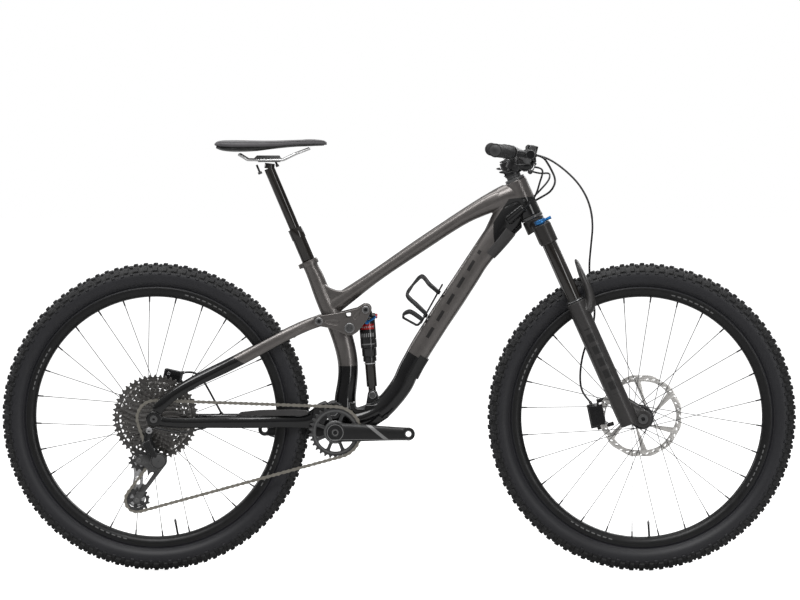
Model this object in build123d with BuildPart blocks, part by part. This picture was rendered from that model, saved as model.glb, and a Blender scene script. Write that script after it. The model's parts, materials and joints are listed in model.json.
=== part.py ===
from build123d import *
from math import asin, atan2, cos, hypot, pi, radians, sin, tan
import os

# Mountain bike with front and rear suspension.  Millimetres, +X forward, +Y to the left side
# (away from the chain), +Z up, origin on the ground midway between the two axles.

# ---- driving dimensions ---------------------------------------------------------------------
WHEELBASE = 1168.0
TYRE_R = 371.5
TYRE_HALF_WIDTH = 30.5
RIM_OUTER_R = 311.0
RIM_INNER_R = 289.5
RIM_HALF_WIDTH = 17.5
SPOKES = 28
SPOKE_LEAN = 77.0
FRONT_SPOKE_PHASE = 8.5
REAR_SPOKE_PHASE = 3.0

REAR_AXLE = (-WHEELBASE / 2, TYRE_R)
FRONT_AXLE = (WHEELBASE / 2, TYRE_R)
BOTTOM_BRACKET = (-151.2, 338.5)
MAIN_PIVOT = (-157.0, 388.0)
ROCKER_PIVOT = (-117.6, 587.2)
STAY_PIVOT = (-190.8, 603.4)
SHOCK_TOP = (-78.9, 631.1)
SHOCK_EYE = (-63.1, 425.0)

HEAD_ANGLE = 24.0
HEAD_TOP = (280.0, 940.0)
HEAD_LENGTH = 93.0
FORK_LEG_Y = 68.0
STANCHION_AHEAD = 13.0
AXLE_BELOW = 643.0
AXLE_AHEAD = 46.5
FORK_TRAVEL = 140.0
SEAT_ANGLE = 23.0
POST_COLLAR = (-250.0, 825.0)

CHAIN_Y = -52.0
CHAIN_PITCH = 12.7
CHAIN_PLATE_HALF = 3.7
CHAINRING_TEETH = 30
SPROCKET_TEETH = [50, 42, 36, 32, 28, 24, 21, 18, 16, 14, 12, 10]
DRIVEN_SPROCKET = 6
SPROCKET_SPACING = 3.5
GUIDE_PULLEY = (-621.2, 270.2)
TENSION_PULLEY = (-626.9, 174.8)
GUIDE_TEETH = 12
TENSION_TEETH = 14
CAGE_PIVOT = (-572.2, 271.5)
CRANK_LENGTH = 175.0

DAMPER_R = 12.6

HOSE_R = 2.5
HOUSING_R = 2.25

PEDAL_HOLE_R = 6.75

BASE = (Align.CENTER, Align.CENTER, Align.MIN)


# ---- local frames ---------------------------------------------------------------------------
def side_point(point, y=0.0):
    """A point of the side view, given as (x, z), at distance y from the centre plane."""
    return (point[0], y, point[1])


lean = radians(HEAD_ANGLE)
STEER = Plane(origin=side_point(HEAD_TOP), x_dir=(cos(lean), 0, sin(lean)), z_dir=(-sin(lean), 0, cos(lean)))
rake = radians(SEAT_ANGLE)
POST = Plane(
    origin=side_point(POST_COLLAR), x_dir=(cos(rake), 0, sin(rake)), z_dir=(-sin(rake), 0, cos(rake)),
)


def steer_point(ahead, y, up):
    """World point from its place beside the steering axis."""
    return tuple(STEER.from_local_coords(Vector(ahead, y, up)))


def post_point(ahead, y, up):
    """World point from its place beside the seatpost's axis."""
    return tuple(POST.from_local_coords(Vector(ahead, y, up)))


# ---- shared shapes --------------------------------------------------------------------------
def bar(start, end, radius, mode=Mode.ADD):
    """Round bar between two points."""
    way = Vector(*end) - Vector(*start)
    with Locations(Plane(origin=start, z_dir=way)):
        Cylinder(radius, way.length, align=BASE, mode=mode)


def cross_bar(point, y_from, y_to, radius, mode=Mode.ADD):
    """Round bar across the bike, centred on a point of the side view."""
    bar(side_point(point, y_from), side_point(point, y_to), radius, mode)


def cross_ring(point, y_from, y_to, outer, inner):
    """Tube across the bike."""
    cross_bar(point, y_from, y_to, outer)
    cross_bar(point, y_from - 1, y_to + 1, inner, Mode.SUBTRACT)


def limb(stations):
    """Smooth oval tube through stations of (x, y, z, height, width)."""
    centres = [Vector(x, y, z) for x, y, z, height, width in stations]
    last = len(centres) - 1
    sections = []
    for i, (x, y, z, height, width) in enumerate(stations):
        ahead = (centres[min(i + 1, last)] - centres[max(i - 1, 0)]).normalized()
        across = (Vector(0, 1, 0) - ahead * ahead.Y).normalized()
        with BuildSketch(Plane(origin=(x, y, z), x_dir=across, z_dir=ahead)) as section:
            Ellipse(width / 2, height / 2)
        sections.append(section.sketch)
    loft(sections)


def both_sides(stations):
    """The same limb on the left and on the right."""
    limb(stations)
    limb([(x, -y, z, height, width) for x, y, z, height, width in stations])


def side_plate(outline, y_from, y_to, mode=Mode.ADD):
    """Flat plate across the bike from an outline in the side view."""
    with BuildSketch(Plane(origin=(0, y_from, 0), x_dir=(1, 0, 0), z_dir=(0, -1, 0))) as face:
        with BuildLine():
            Polyline(*outline, close=True)
        make_face()
    extrude(face.sketch, amount=y_from - y_to, mode=mode)


def cord_path(points):
    """Straight runs joined by arcs as large as the runs allow, with its drawn length."""
    corners = [Vector(*p) for p in points]
    radii = []
    for before, corner, after in zip(corners, corners[1:], corners[2:]):
        turn = radians((corner - before).get_angle(after - corner))
        run = min((corner - before).length, (after - corner).length)
        radii.append(0.45 * run / tan(turn / 2))
    return corners, radii


def cord(name, points, radius):
    """Round hose or housing along a route of points."""
    corners, radii = cord_path(points)
    with BuildLine() as route:
        FilletPolyline(*corners, radius=radii)
    length = sum(edge.length for edge in route.edges())
    with BuildSketch(Plane(origin=corners[0], z_dir=corners[1] - corners[0])) as section:
        Circle(radius)
    with BuildPart() as tube:
        sweep(section.sketch, path=route.wires()[0])
    ideal = pi * radius**2 * length
    rounded_radii = [round(r) for r in radii]
    print(f"{name}: length {length:.0f}, radii {rounded_radii}, volume ratio {tube.part.volume / ideal:.4f}")
    return tube.part


def wire(points, radius, bend):
    """Round wire with rounded corners, added to the part being built."""
    with BuildLine() as route:
        FilletPolyline(*points, radius=bend)
    way = Vector(*points[1]) - Vector(*points[0])
    with BuildSketch(Plane(origin=points[0], z_dir=way)) as section:
        Circle(radius)
    sweep(section.sketch, path=route.wires()[0])


parts = {}


def keep(name, built):
    """Label a finished piece and remember it for writing out."""
    built.label = name
    parts[name] = built


# ---- main frame -----------------------------------------------------------------------------
TOP_TUBE = [
    (-177, 0, 625, 46, 37),
    (-142, 0, 650, 40, 35),
    (-50, 0, 715, 30, 37),
    (50, 0, 783.5, 32, 40),
    (150, 0, 849, 34, 44),
    (215, 0, 884, 46, 48),
    (285, 0, 908, 66, 46),
]
DOWN_TUBE = [
    (-120, 0, 362, 62, 66),
    (-70, 0, 376, 54, 64),
    (-24, 0, 408, 50, 60),
    (8, 0, 450, 51, 58),
    (32, 0, 500, 51, 58),
    (93, 0, 600, 54, 58),
    (158.8, 0, 700, 54, 58),
    (191, 0, 750, 53, 56),
    (228, 0, 800, 60, 52),
    (300, 0, 880, 70, 48),
]
SEAT_TUBE = [
    (-214, 0, 741, 37, 37),
    (-205, 0, 720, 37, 37),
    (-189, 0, 680, 40, 39),
    (-170, 0, 635, 43, 41),
    (-146, 0, 590, 50, 44),
    (-132, 0, 550, 50, 46),
    (-122.5, 0, 500, 48, 52),
    (-124.5, 0, 450, 48, 58),
    (-129, 0, 410, 52, 62),
    (-140, 0, 366, 58, 62),
]
JUNCTION = [(-172, 350), (-168, 372), (-148, 404), (-104, 408), (-103, 393), (-82, 393), (-79, 402),
            (-50, 402), (-24, 372), (-54, 352), (-120, 320)]
EAR = [(-84, 388), (-79, 400), (-75, 425), (-51, 425), (-40, 402), (-56, 386)]
head_low = steer_point(0, 0, -HEAD_LENGTH)
head_high = steer_point(0, 0, 0)

TUBE_WEB = [(-178, 691), (-166, 682), (-150, 676), (-135, 675), (-121, 682), (-112, 672), (-135, 638),
            (-165, 620), (-195, 672)]
with BuildPart() as main_frame:
    limb(TOP_TUBE)
    limb(DOWN_TUBE)
    limb(SEAT_TUBE)
    side_plate(TUBE_WEB, 16, -16)
    bar(head_low, head_high, 26)
    cross_bar(BOTTOM_BRACKET, -36.5, 36.5, 25)
    cross_bar(MAIN_PIVOT, -33, 33, 20)
    cross_bar(ROCKER_PIVOT, -23.5, 23.5, 16)
    side_plate(JUNCTION, 28, -28)
    for ear_y in (-20, 11.5):
        side_plate(EAR, ear_y + 8.5, ear_y)
        cross_bar(SHOCK_EYE, ear_y, ear_y + 8.5, 12)
    for side in (-1, 1):
        bar((300, side * 29.5, 874), (262, side * 26, 842), 8.5)
    bar(steer_point(0, 0, -150), steer_point(0, 0, -HEAD_LENGTH), 31, Mode.SUBTRACT)
    bar(steer_point(0, 0, 0), steer_point(0, 0, 40), 31, Mode.SUBTRACT)
    bar(steer_point(0, 0, -HEAD_LENGTH - 1), steer_point(0, 0, 1), 21, Mode.SUBTRACT)
    bar(post_point(0, 0, -245), post_point(0, 0, -60), 15.9, Mode.SUBTRACT)
    cross_bar(BOTTOM_BRACKET, -40, 40, 20.5, Mode.SUBTRACT)
    cross_bar(MAIN_PIVOT, -40, 40, 7.5, Mode.SUBTRACT)
    cross_bar(ROCKER_PIVOT, -40, 40, 7.5, Mode.SUBTRACT)
    cross_bar(SHOCK_EYE, -30, 30, 4, Mode.SUBTRACT)
    cross_bar(SHOCK_EYE, -11.5, 11.5, 15, Mode.SUBTRACT)
keep("main_frame", main_frame.part)

with BuildPart() as headset_cups:
    bar(steer_point(0, 0, -12), steer_point(0, 0, 0), 21)
    bar(steer_point(0, 0, 0), steer_point(0, 0, 6.5), 24)
    bar(steer_point(0, 0, -HEAD_LENGTH), steer_point(0, 0, -HEAD_LENGTH + 12), 21)
    bar(steer_point(0, 0, -HEAD_LENGTH - 7), steer_point(0, 0, -HEAD_LENGTH), 27)
    bar(steer_point(0, 0, -HEAD_LENGTH - 9), steer_point(0, 0, 9), 14.4, Mode.SUBTRACT)
keep("headset_cups", headset_cups.part)

with BuildPart() as seat_clamp:
    bar(post_point(0, 0, -96), post_point(0, 0, -84), 22)
    bar(post_point(-20, 0, -90), post_point(-27, 0, -90), 5.5)
    bar(post_point(0, 0, -97), post_point(0, 0, -83), 19.2, Mode.SUBTRACT)
    with Locations(Plane(origin=post_point(-25, 0, -90), x_dir=POST.x_dir, z_dir=POST.z_dir)):
        Box(14, 1.5, 14, mode=Mode.SUBTRACT)
keep("seat_clamp", seat_clamp.part)

with BuildPart() as seatpost_outer:
    bar(post_point(0, 0, -240), post_point(0, 0, -27), 15.8)
    bar(post_point(0, 0, -27), post_point(0, 0, 0), 17.2)
    bar(post_point(0, 0, -236), post_point(0, 0, 1), 12.8, Mode.SUBTRACT)
keep("seatpost_outer", seatpost_outer.part)

with BuildPart() as bottom_bracket:
    for side in (-1, 1):
        cross_bar(BOTTOM_BRACKET, side * 26, side * 36.5, 20.4)
        cross_bar(BOTTOM_BRACKET, side * 36.5, side * 41, 22)
    cross_bar(BOTTOM_BRACKET, -45, 45, 14.5, Mode.SUBTRACT)
keep("bottom_bracket", bottom_bracket.part)

with BuildPart() as pivot_axles:
    cross_bar(MAIN_PIVOT, -45, 45, 7.4)
    cross_bar(MAIN_PIVOT, -47, -44.4, 9.5)
    cross_bar(MAIN_PIVOT, 44.4, 47, 9.5)
    cross_bar(ROCKER_PIVOT, -44, 44, 7.4)
    cross_bar(ROCKER_PIVOT, -44.5, -41.4, 11)
    cross_bar(ROCKER_PIVOT, 41.4, 44.5, 11)
    cross_bar(SHOCK_EYE, -23, 23, 3.9)
    cross_bar(SHOCK_EYE, -24, -20.2, 7)
    cross_bar(SHOCK_EYE, 20.2, 24, 7)
keep("pivot_axles", pivot_axles.part)

# The cage is bolted to the down tube's upper face and its arms wrap round a bottle.
CAGE_FOOT = (60.0, 600.0)
cage_way = Vector(58, 0, 105).normalized()
cage_out = Vector(-cage_way.Z, 0, cage_way.X)


def cage_point(along, out, y):
    """Point on the bottle cage: along the down tube, and out from it into the triangle."""
    spot = Vector(*side_point(CAGE_FOOT, y)) + cage_way * along + cage_out * out
    return tuple(spot)


with BuildPart() as bottle_cage:
    with Locations(Plane(origin=cage_point(48, 4.5, 0), x_dir=(0, 1, 0), z_dir=tuple(cage_way))):
        Box(22, 4, 108)
    for along in (16, 80):
        bar(cage_point(along, -1, 0), cage_point(along, 9, 0), 5)
    for side in (-1, 1):
        wire([cage_point(76, 5, side * 4), cage_point(80, 6, side * 26), cage_point(86, 32, side * 41),
              cage_point(94, 58, side * 26), cage_point(66, 66, side * 22), cage_point(38, 67, side * 26),
              cage_point(28, 36, side * 41), cage_point(20, 6, side * 26), cage_point(16, 5, side * 4)], 2.8, 7)
        wire([cage_point(6, 5, side * 4), cage_point(4, 8, side * 28), cage_point(6, 40, side * 36),
              cage_point(-8, 52, side * 18), cage_point(-14, 48, -side * 1)], 2.6, 7)
    wire([cage_point(2, 5, 0), cage_point(-15, 9, 0), cage_point(-15, 49, 0)], 3, 6)
keep("bottle_cage", bottle_cage.part)

# ---- dropper post and saddle ----------------------------------------------------------------
with BuildPart() as dropper_stanchion:
    bar(post_point(0, 0, -45), post_point(0, 0, 157), 12.5)
    bar(post_point(0, 0, 156), (-309.5, 0, 981), 12)
keep("dropper_stanchion", dropper_stanchion.part)

with BuildPart() as saddle_clamp:
    side_plate([(-337, 984.2), (-285, 984.2), (-285, 987), (-337, 987)], 23, -23)
    side_plate([(-347, 993), (-283, 993), (-287, 1000), (-340, 1000)], 23, -23)
    for ahead in (-24.5, 20.5):
        bar(post_point(ahead, 0, 152), post_point(ahead, 0, 176), 2.5)
    bar(post_point(-24.5, 0, 152), post_point(-24.5, 0, 158), 5)
    bar(post_point(20.5, 0, 152), post_point(20.5, 0, 158), 4)
    for rail_y in (-22, 22):
        bar((-360, rail_y, 989.5), (-270, rail_y, 989.5), 3.7, Mode.SUBTRACT)
keep("saddle_clamp", saddle_clamp.part)

with BuildPart() as saddle_rails:
    for side in (-1, 1):
        wire([(-383, side * 33, 1003), (-362, side * 26, 990), (-340, side * 22, 989.5), (-278, side * 22, 989.5),
              (-248, side * 19, 1004), (-214, side * 9, 1017)], 3.5, 8)
keep("saddle_rails", saddle_rails.part)

SADDLE_BASE = [
    (-436, 0, 1022, 14, 96),
    (-420, 0, 1018, 15, 126),
    (-390, 0, 1016, 15, 136),
    (-345, 0, 1017, 14, 122),
    (-300, 0, 1022, 12, 84),
    (-255, 0, 1026, 11, 50),
    (-210, 0, 1028, 10, 36),
    (-178, 0, 1028, 8, 26),
]
with BuildPart() as saddle_base:
    limb(SADDLE_BASE)
    split(bisect_by=Plane(origin=(-300, 0, 1021), x_dir=(1, 0, 0.04), z_dir=(-0.04, 0, 1)), keep=Keep.BOTTOM)
keep("saddle_base", saddle_base.part)

SADDLE_PAD = [
    (-438, 0, 1028, 14, 104),
    (-420, 0, 1026, 22, 136),
    (-390, 0, 1025, 24, 146),
    (-345, 0, 1025, 22, 130),
    (-300, 0, 1026, 20, 92),
    (-255, 0, 1029, 18, 56),
    (-210, 0, 1031, 17, 42),
    (-174, 0, 1029, 10, 30),
]
with BuildPart() as saddle_pad:
    limb(SADDLE_PAD)
    split(bisect_by=Plane(origin=(-300, 0, 1021.4), x_dir=(1, 0, 0.04), z_dir=(-0.04, 0, 1)), keep=Keep.TOP)
keep("saddle_pad", saddle_pad.part)

# ---- fork upper, stem and handlebar ---------------------------------------------------------
crown_top = -HEAD_LENGTH - 8.0
with BuildPart() as fork_crown:
    bar(steer_point(0, 0, crown_top - 8), steer_point(0, 0, 52), 14.3)
    bar(steer_point(0, 0, crown_top - 34), steer_point(0, 0, crown_top), 26)
    for side in (-1, 1):
        socket = (STANCHION_AHEAD, side * FORK_LEG_Y)
        bar(steer_point(*socket, -168), steer_point(*socket, -120), 22)
        limb([
            (*steer_point(0, 0, crown_top - 19), 34, 40),
            (*steer_point(6, side * 34, crown_top - 23), 30, 34),
            (*steer_point(STANCHION_AHEAD, side * 60, -144), 34, 32),
        ])
    for side in (-1, 1):
        socket = (STANCHION_AHEAD, side * FORK_LEG_Y)
        bar(steer_point(*socket, -169), steer_point(*socket, -124), 17, Mode.SUBTRACT)
    raised_axle = steer_point(AXLE_AHEAD, 0, FORK_TRAVEL - AXLE_BELOW)
    cross_bar((raised_axle[0], raised_axle[2]), -37, 37, TYRE_R + 5, Mode.SUBTRACT)
keep("fork_crown", fork_crown.part)

with BuildPart() as fork_stanchions:
    for side in (-1, 1):
        leg = (STANCHION_AHEAD, side * FORK_LEG_Y)
        bar(steer_point(*leg, -430), steer_point(*leg, -124), 17)
        bar(steer_point(*leg, -440), steer_point(*leg, -125), 14.5, Mode.SUBTRACT)
keep("fork_stanchions", fork_stanchions.part)

bar_clamp = steer_point(38, 0, 31)
with BuildPart() as stem:
    bar(steer_point(0, 0, 14), steer_point(0, 0, 51), 19.5)
    limb([
        (*steer_point(2, 0, 31), 36, 32),
        (*steer_point(20, 0, 31), 32, 34),
        (*steer_point(38, 0, 31), 36, 40),
    ])
    bar((bar_clamp[0], -24, bar_clamp[2]), (bar_clamp[0], 24, bar_clamp[2]), 21)
    bar((bar_clamp[0], -30, bar_clamp[2]), (bar_clamp[0], 30, bar_clamp[2]), 16, Mode.SUBTRACT)
    bar(steer_point(0, 0, 5), steer_point(0, 0, 60), 14.4, Mode.SUBTRACT)
keep("stem", stem.part)

with BuildPart() as headset_spacers:
    bar(steer_point(0, 0, 7), steer_point(0, 0, 13.8), 17.5)
    bar(steer_point(0, 0, 6), steer_point(0, 0, 14), 14.4, Mode.SUBTRACT)
    bar(steer_point(0, 0, 52.2), steer_point(0, 0, 56), 17)
keep("headset_spacers", headset_spacers.part)

BAR_LINE = [
    (bar_clamp[0], 0, bar_clamp[2]), (bar_clamp[0], 40, bar_clamp[2]), (296, 95, 997), (284, 148, 1006),
    (256, 265, 1010), (227, 386, 1013.5),
]
BAR_RADII = [15.9, 15.9, 14, 11.1, 11.1, 11.1]
with BuildPart() as handlebar:
    for side in (-1, 1):
        walk = [(x, side * y, z) for x, y, z in BAR_LINE]
        for i, (start, end) in enumerate(zip(walk, walk[1:])):
            way = Vector(*end) - Vector(*start)
            with Locations(Plane(origin=start, z_dir=way)):
                if BAR_RADII[i] == BAR_RADII[i + 1]:
                    Cylinder(BAR_RADII[i], way.length, align=BASE)
                else:
                    Cone(BAR_RADII[i], BAR_RADII[i + 1], way.length, align=BASE)
            if i < len(walk) - 2:
                with Locations(end):
                    Sphere(BAR_RADII[i + 1])
keep("handlebar", handlebar.part)


def on_bar(y):
    """Point on the handlebar's outer stretch at distance y from the centre."""
    inner, outer = Vector(*BAR_LINE[3]), Vector(*BAR_LINE[5])
    share = (abs(y) - inner.Y) / (outer.Y - inner.Y)
    spot = inner + (outer - inner) * share
    return (spot.X, y, spot.Z)


with BuildPart() as grips:
    for side in (-1, 1):
        bar(on_bar(side * 262), on_bar(side * 390), 15.4)
        bar(on_bar(side * 255), on_bar(side * 262), 17)
        bar(on_bar(side * 250), on_bar(side * 387), 11.6, Mode.SUBTRACT)
keep("grips", grips.part)

lever_axis = Vector(0.62, 0, 0.78).normalized()
LEVER_PIVOT_Y = 206.0
lever_pivot = (318.0, 982.0)
with BuildPart() as brake_masters:
    for side in (-1, 1):
        bar(on_bar(side * 218), on_bar(side * 230), 16.5)
        bar(on_bar(side * 224), (309, side * 216, 1002), 8)
        bar((316, side * 150, 1003), (311, side * 232, 1003), 11)
        bar((318, side * 176, 1008), (322, side * 176, 1024), 9)
        bar((318, side * 176, 1008), (316, side * 214, 1018), 8)
        bar((316, side * 206, 1000), (317, side * 206, 987), 8)
        bar((316, side * 182.5, 1002.7), (327.4, side * 180, 1001), 4)
        bar(on_bar(side * 205), on_bar(side * 240), 11.6, Mode.SUBTRACT)
        spot = Vector(lever_pivot[0], side * LEVER_PIVOT_Y, lever_pivot[1])
        bar(tuple(spot - lever_axis * 5.4), tuple(spot + lever_axis * 5.4), 13, Mode.SUBTRACT)
        bar(tuple(spot - lever_axis * 9), tuple(spot + lever_axis * 9), 3)
keep("brake_masters", brake_masters.part)

for side, name in ((-1, "brake_lever_right"), (1, "brake_lever_left")):
    spot = Vector(lever_pivot[0], side * LEVER_PIVOT_Y, lever_pivot[1])
    with BuildPart() as brake_lever:
        bar(tuple(spot - lever_axis * 5), tuple(spot + lever_axis * 5), 7)
        limb([
            (spot.X - 1, side * (LEVER_PIVOT_Y + 3), spot.Z - 1, 9, 11),
            (spot.X - 4, side * (LEVER_PIVOT_Y + 40), spot.Z - 13, 9, 9),
            (spot.X - 9, side * (LEVER_PIVOT_Y + 80), spot.Z - 17, 10, 7),
            (spot.X - 10, side * (LEVER_PIVOT_Y + 112), spot.Z - 18, 11, 7),
        ])
        with Locations((spot.X - 10, side * (LEVER_PIVOT_Y + 112), spot.Z - 18)):
            Sphere(6)
        bar(tuple(spot - lever_axis * 12), tuple(spot + lever_axis * 12), 3.1, Mode.SUBTRACT)
    keep(name, brake_lever.part)

with BuildPart() as shifter_pod:
    bar(on_bar(-196), on_bar(-208), 15)
    bar(on_bar(-202), (268, -196, 984), 7)
    with Locations(Plane(origin=(270, -192, 976), x_dir=(0, 1, 0), z_dir=(0.35, 0, 0.94))):
        Cylinder(16, 16)
    bar((276, -192, 976), (318, -176, 974), 6)
    bar(on_bar(-185), on_bar(-218), 11.6, Mode.SUBTRACT)
keep("shifter_pod", shifter_pod.part)

with BuildPart() as shift_paddle:
    with Locations(Plane(origin=(268, -192, 965.5), x_dir=(0, 1, 0), z_dir=(0.35, 0, 0.94))):
        Cylinder(11, 4.5)
    limb([
        (266, -196, 964.5, 5, 12),
        (254, -216, 962, 6, 16),
        (245, -238, 962, 6, 18),
    ])
keep("shift_paddle", shift_paddle.part)

with BuildPart() as dropper_remote:
    bar(on_bar(196), on_bar(208), 15)
    bar(on_bar(202), (268, 196, 984), 6)
    with Locations(Plane(origin=(268, 192, 979), x_dir=(0, 1, 0), z_dir=(0.35, 0, 0.94))):
        Cylinder(12, 12)
    bar((272, 192, 978), (312, 174, 964), 5)
    bar(on_bar(185), on_bar(218), 11.6, Mode.SUBTRACT)
keep("dropper_remote", dropper_remote.part)

with BuildPart() as dropper_paddle:
    with Locations(Plane(origin=(265.5, 192, 970.4), x_dir=(0, 1, 0), z_dir=(0.35, 0, 0.94))):
        Cylinder(10, 4.5)
    limb([
        (262, 198, 969, 5, 12),
        (252, 218, 966, 6, 17),
        (246, 236, 966, 6, 20),
    ])
keep("dropper_paddle", dropper_paddle.part)

with BuildPart() as fork_lever:
    bar(steer_point(STANCHION_AHEAD, -FORK_LEG_Y, -119.7), steer_point(STANCHION_AHEAD, -FORK_LEG_Y, -115), 9)
    leg_top = (STANCHION_AHEAD, -FORK_LEG_Y)
    bar(steer_point(*leg_top, -116.5), steer_point(*leg_top, -110.5), 14)
    limb([
        (*steer_point(STANCHION_AHEAD + 8, -FORK_LEG_Y, -114), 7, 14),
        (*steer_point(STANCHION_AHEAD + 20, -FORK_LEG_Y, -113), 7, 11),
        (*steer_point(STANCHION_AHEAD + 28, -FORK_LEG_Y, -113), 8, 9),
    ])
keep("fork_lever", fork_lever.part)

# ---- fork lowers ----------------------------------------------------------------------------
AXLE_UP = -AXLE_BELOW
with BuildPart() as fork_lowers:
    for side in (-1, 1):
        leg = (STANCHION_AHEAD, side * FORK_LEG_Y)
        bar(steer_point(*leg, -642), steer_point(*leg, -322), 22.5)
        cross_bar(FRONT_AXLE, side * 55.3, side * 68, 21)
        limb([
            (*steer_point(STANCHION_AHEAD + 4, side * 63, -600), 42, 22),
            (*steer_point(STANCHION_AHEAD + 20, side * 62, -625), 44, 16),
            (*steer_point(AXLE_AHEAD, side * 61.5, AXLE_UP), 40, 12.5),
        ])
        limb([
            (*steer_point(28, side * 67, -352), 26, 40),
            (*steer_point(44, side * 66, -338), 26, 34),
            (*steer_point(52, side * 62, -312), 20, 26),
            (*steer_point(54, side * 50, -272), 14, 22),
            (*steer_point(55, side * 28, -248), 11, 22),
            (*steer_point(55, side * 8, -242), 10, 22),
            (*steer_point(55, -side * 2, -241.5), 10, 22),
        ])
    for side in (-1, 1):
        leg = (STANCHION_AHEAD, side * FORK_LEG_Y)
        bar(steer_point(*leg, -590), steer_point(*leg, -316), 17.3, Mode.SUBTRACT)
    cross_bar(FRONT_AXLE, -80, 80, 7.6, Mode.SUBTRACT)
    cross_bar(FRONT_AXLE, 38, 55.2, 24, Mode.SUBTRACT)
    cross_bar(FRONT_AXLE, -55.2, -38, 24, Mode.SUBTRACT)
    cross_bar(FRONT_AXLE, 37, 45.2, 104, Mode.SUBTRACT)
    for side in (-1, 1):
        cross_bar(FRONT_AXLE, side * 68, side * 90, 12.4, Mode.SUBTRACT)
keep("fork_lowers", fork_lowers.part)

with BuildPart() as fork_seals:
    for side in (-1, 1):
        leg = (STANCHION_AHEAD, side * FORK_LEG_Y)
        bar(steer_point(*leg, -321.9), steer_point(*leg, -316), 20.5)
        bar(steer_point(*leg, -330), steer_point(*leg, -315), 17.2, Mode.SUBTRACT)
keep("fork_seals", fork_seals.part)

with BuildPart() as front_axle:
    cross_bar(FRONT_AXLE, -70, 70, 7.5)
    cross_bar(FRONT_AXLE, -73, -68.2, 12)
    cross_bar(FRONT_AXLE, 68.2, 73, 12)
    cross_bar(FRONT_AXLE, -75, -69, 5, Mode.SUBTRACT)
keep("front_axle", front_axle.part)

with BuildPart() as front_caliper:
    with Locations(Plane(origin=(474, 52.5, 371), x_dir=(0, 1, 0), z_dir=(-0.2, 0, 0.98))):
        Box(15, 30, 58)
    with Locations(Plane(origin=(478, 31.5, 373), x_dir=(0, 1, 0), z_dir=(-0.2, 0, 0.98))):
        Box(7, 34, 50)
    with Locations(Plane(origin=(469, 40, 372), x_dir=(0, 1, 0), z_dir=(-0.2, 0, 0.98))):
        Box(24, 12, 44)
    bar((478, 58, 405), (503, 58, 412), 5)
    bar((480, 58, 340), (520, 58, 352), 5)
    bar((470, 56, 390), (462, 64, 404), 4)
    cross_bar(FRONT_AXLE, 37.5, 42.5, 103, Mode.SUBTRACT)
    bar(steer_point(STANCHION_AHEAD, FORK_LEG_Y, -660), steer_point(STANCHION_AHEAD, FORK_LEG_Y, -322), 22.7,
        Mode.SUBTRACT)
keep("front_caliper", front_caliper.part)


# ---- wheels ---------------------------------------------------------------------------------
def wheel_parts(label, axle, flanges, phase):
    """Tyre, rim and spokes on an axle, with the flanges at the two given y."""
    x, z = axle
    with BuildPart() as tyre:
        with BuildSketch(Plane(origin=(x, 0, z), x_dir=(1, 0, 0), z_dir=(0, 0, 1))) as section:
            with Locations((TYRE_R - 32.5, 0)):
                Ellipse(32.5, TYRE_HALF_WIDTH)
                Ellipse(28, TYRE_HALF_WIDTH - 4, mode=Mode.SUBTRACT)
            with Locations((RIM_OUTER_R / 2, 0)):
                Rectangle(RIM_OUTER_R + 0.2, 80, mode=Mode.SUBTRACT)
        revolve(section.sketch, axis=Axis((x, 0, z), (0, 1, 0)))
    keep(f"{label}_tyre", tyre.part)

    with BuildPart() as rim:
        with BuildSketch(Plane(origin=(x, 0, z), x_dir=(1, 0, 0), z_dir=(0, 0, 1))) as section:
            with BuildLine():
                Polyline((RIM_INNER_R, -8), (RIM_INNER_R, 8), (RIM_INNER_R + 8, 14),
                         (RIM_OUTER_R, RIM_HALF_WIDTH), (RIM_OUTER_R, 12), (RIM_OUTER_R - 6, 10),
                         (RIM_OUTER_R - 6, -10), (RIM_OUTER_R, -12), (RIM_OUTER_R, -RIM_HALF_WIDTH),
                         (RIM_INNER_R + 8, -14), close=True)
            make_face()
        revolve(section.sketch, axis=Axis((x, 0, z), (0, 1, 0)))
    keep(f"{label}_rim", rim.part)

    with BuildPart() as spokes:
        for k in range(SPOKES):
            side = 1 if k % 2 else -1
            trail = 1 if (k // 2) % 2 else -1
            at_rim = radians(phase + k * 360 / SPOKES)
            at_hub = at_rim + radians(trail * SPOKE_LEAN)
            flange = flanges[k % 2]
            hub_y = flange + side * trail * 1.9
            start = (x + 24.5 * cos(at_hub), hub_y, z + 24.5 * sin(at_hub))
            end = (x + (RIM_INNER_R + 3) * cos(at_rim), side * 3, z + (RIM_INNER_R + 3) * sin(at_rim))
            bar(start, end, 1)
            grip = Vector(*end) + (Vector(*start) - Vector(*end)).normalized() * 14
            bar(tuple(grip), end, 2)
    keep(f"{label}_spokes", spokes.part)


wheel_parts("front", FRONT_AXLE, (-27.0, 27.0), FRONT_SPOKE_PHASE)
wheel_parts("rear", REAR_AXLE, (-21.0, 33.0), REAR_SPOKE_PHASE)

with BuildPart() as front_hub:
    cross_bar(FRONT_AXLE, -54.9, 54.9, 10.5)
    cross_bar(FRONT_AXLE, -50, 36, 13)
    cross_bar(FRONT_AXLE, -52, -42, 20)
    for flange_y in (-27, 27):
        cross_bar(FRONT_AXLE, flange_y - 1.5, flange_y + 1.5, 28)
    cross_bar(FRONT_AXLE, 33, 39, 21)
    cross_bar(FRONT_AXLE, -60, 60, 7.6, Mode.SUBTRACT)
keep("front_hub", front_hub.part)

with BuildPart() as rear_hub:
    cross_bar(REAR_AXLE, -19.5, 73.9, 10)
    cross_bar(REAR_AXLE, -19.5, 56, 14)
    cross_bar(REAR_AXLE, -22.5, -19.5, 28)
    cross_bar(REAR_AXLE, 31.5, 34.5, 28)
    cross_bar(REAR_AXLE, 50, 56, 21)
    cross_bar(REAR_AXLE, -30, 80, 6.1, Mode.SUBTRACT)
keep("rear_hub", rear_hub.part)


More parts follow.
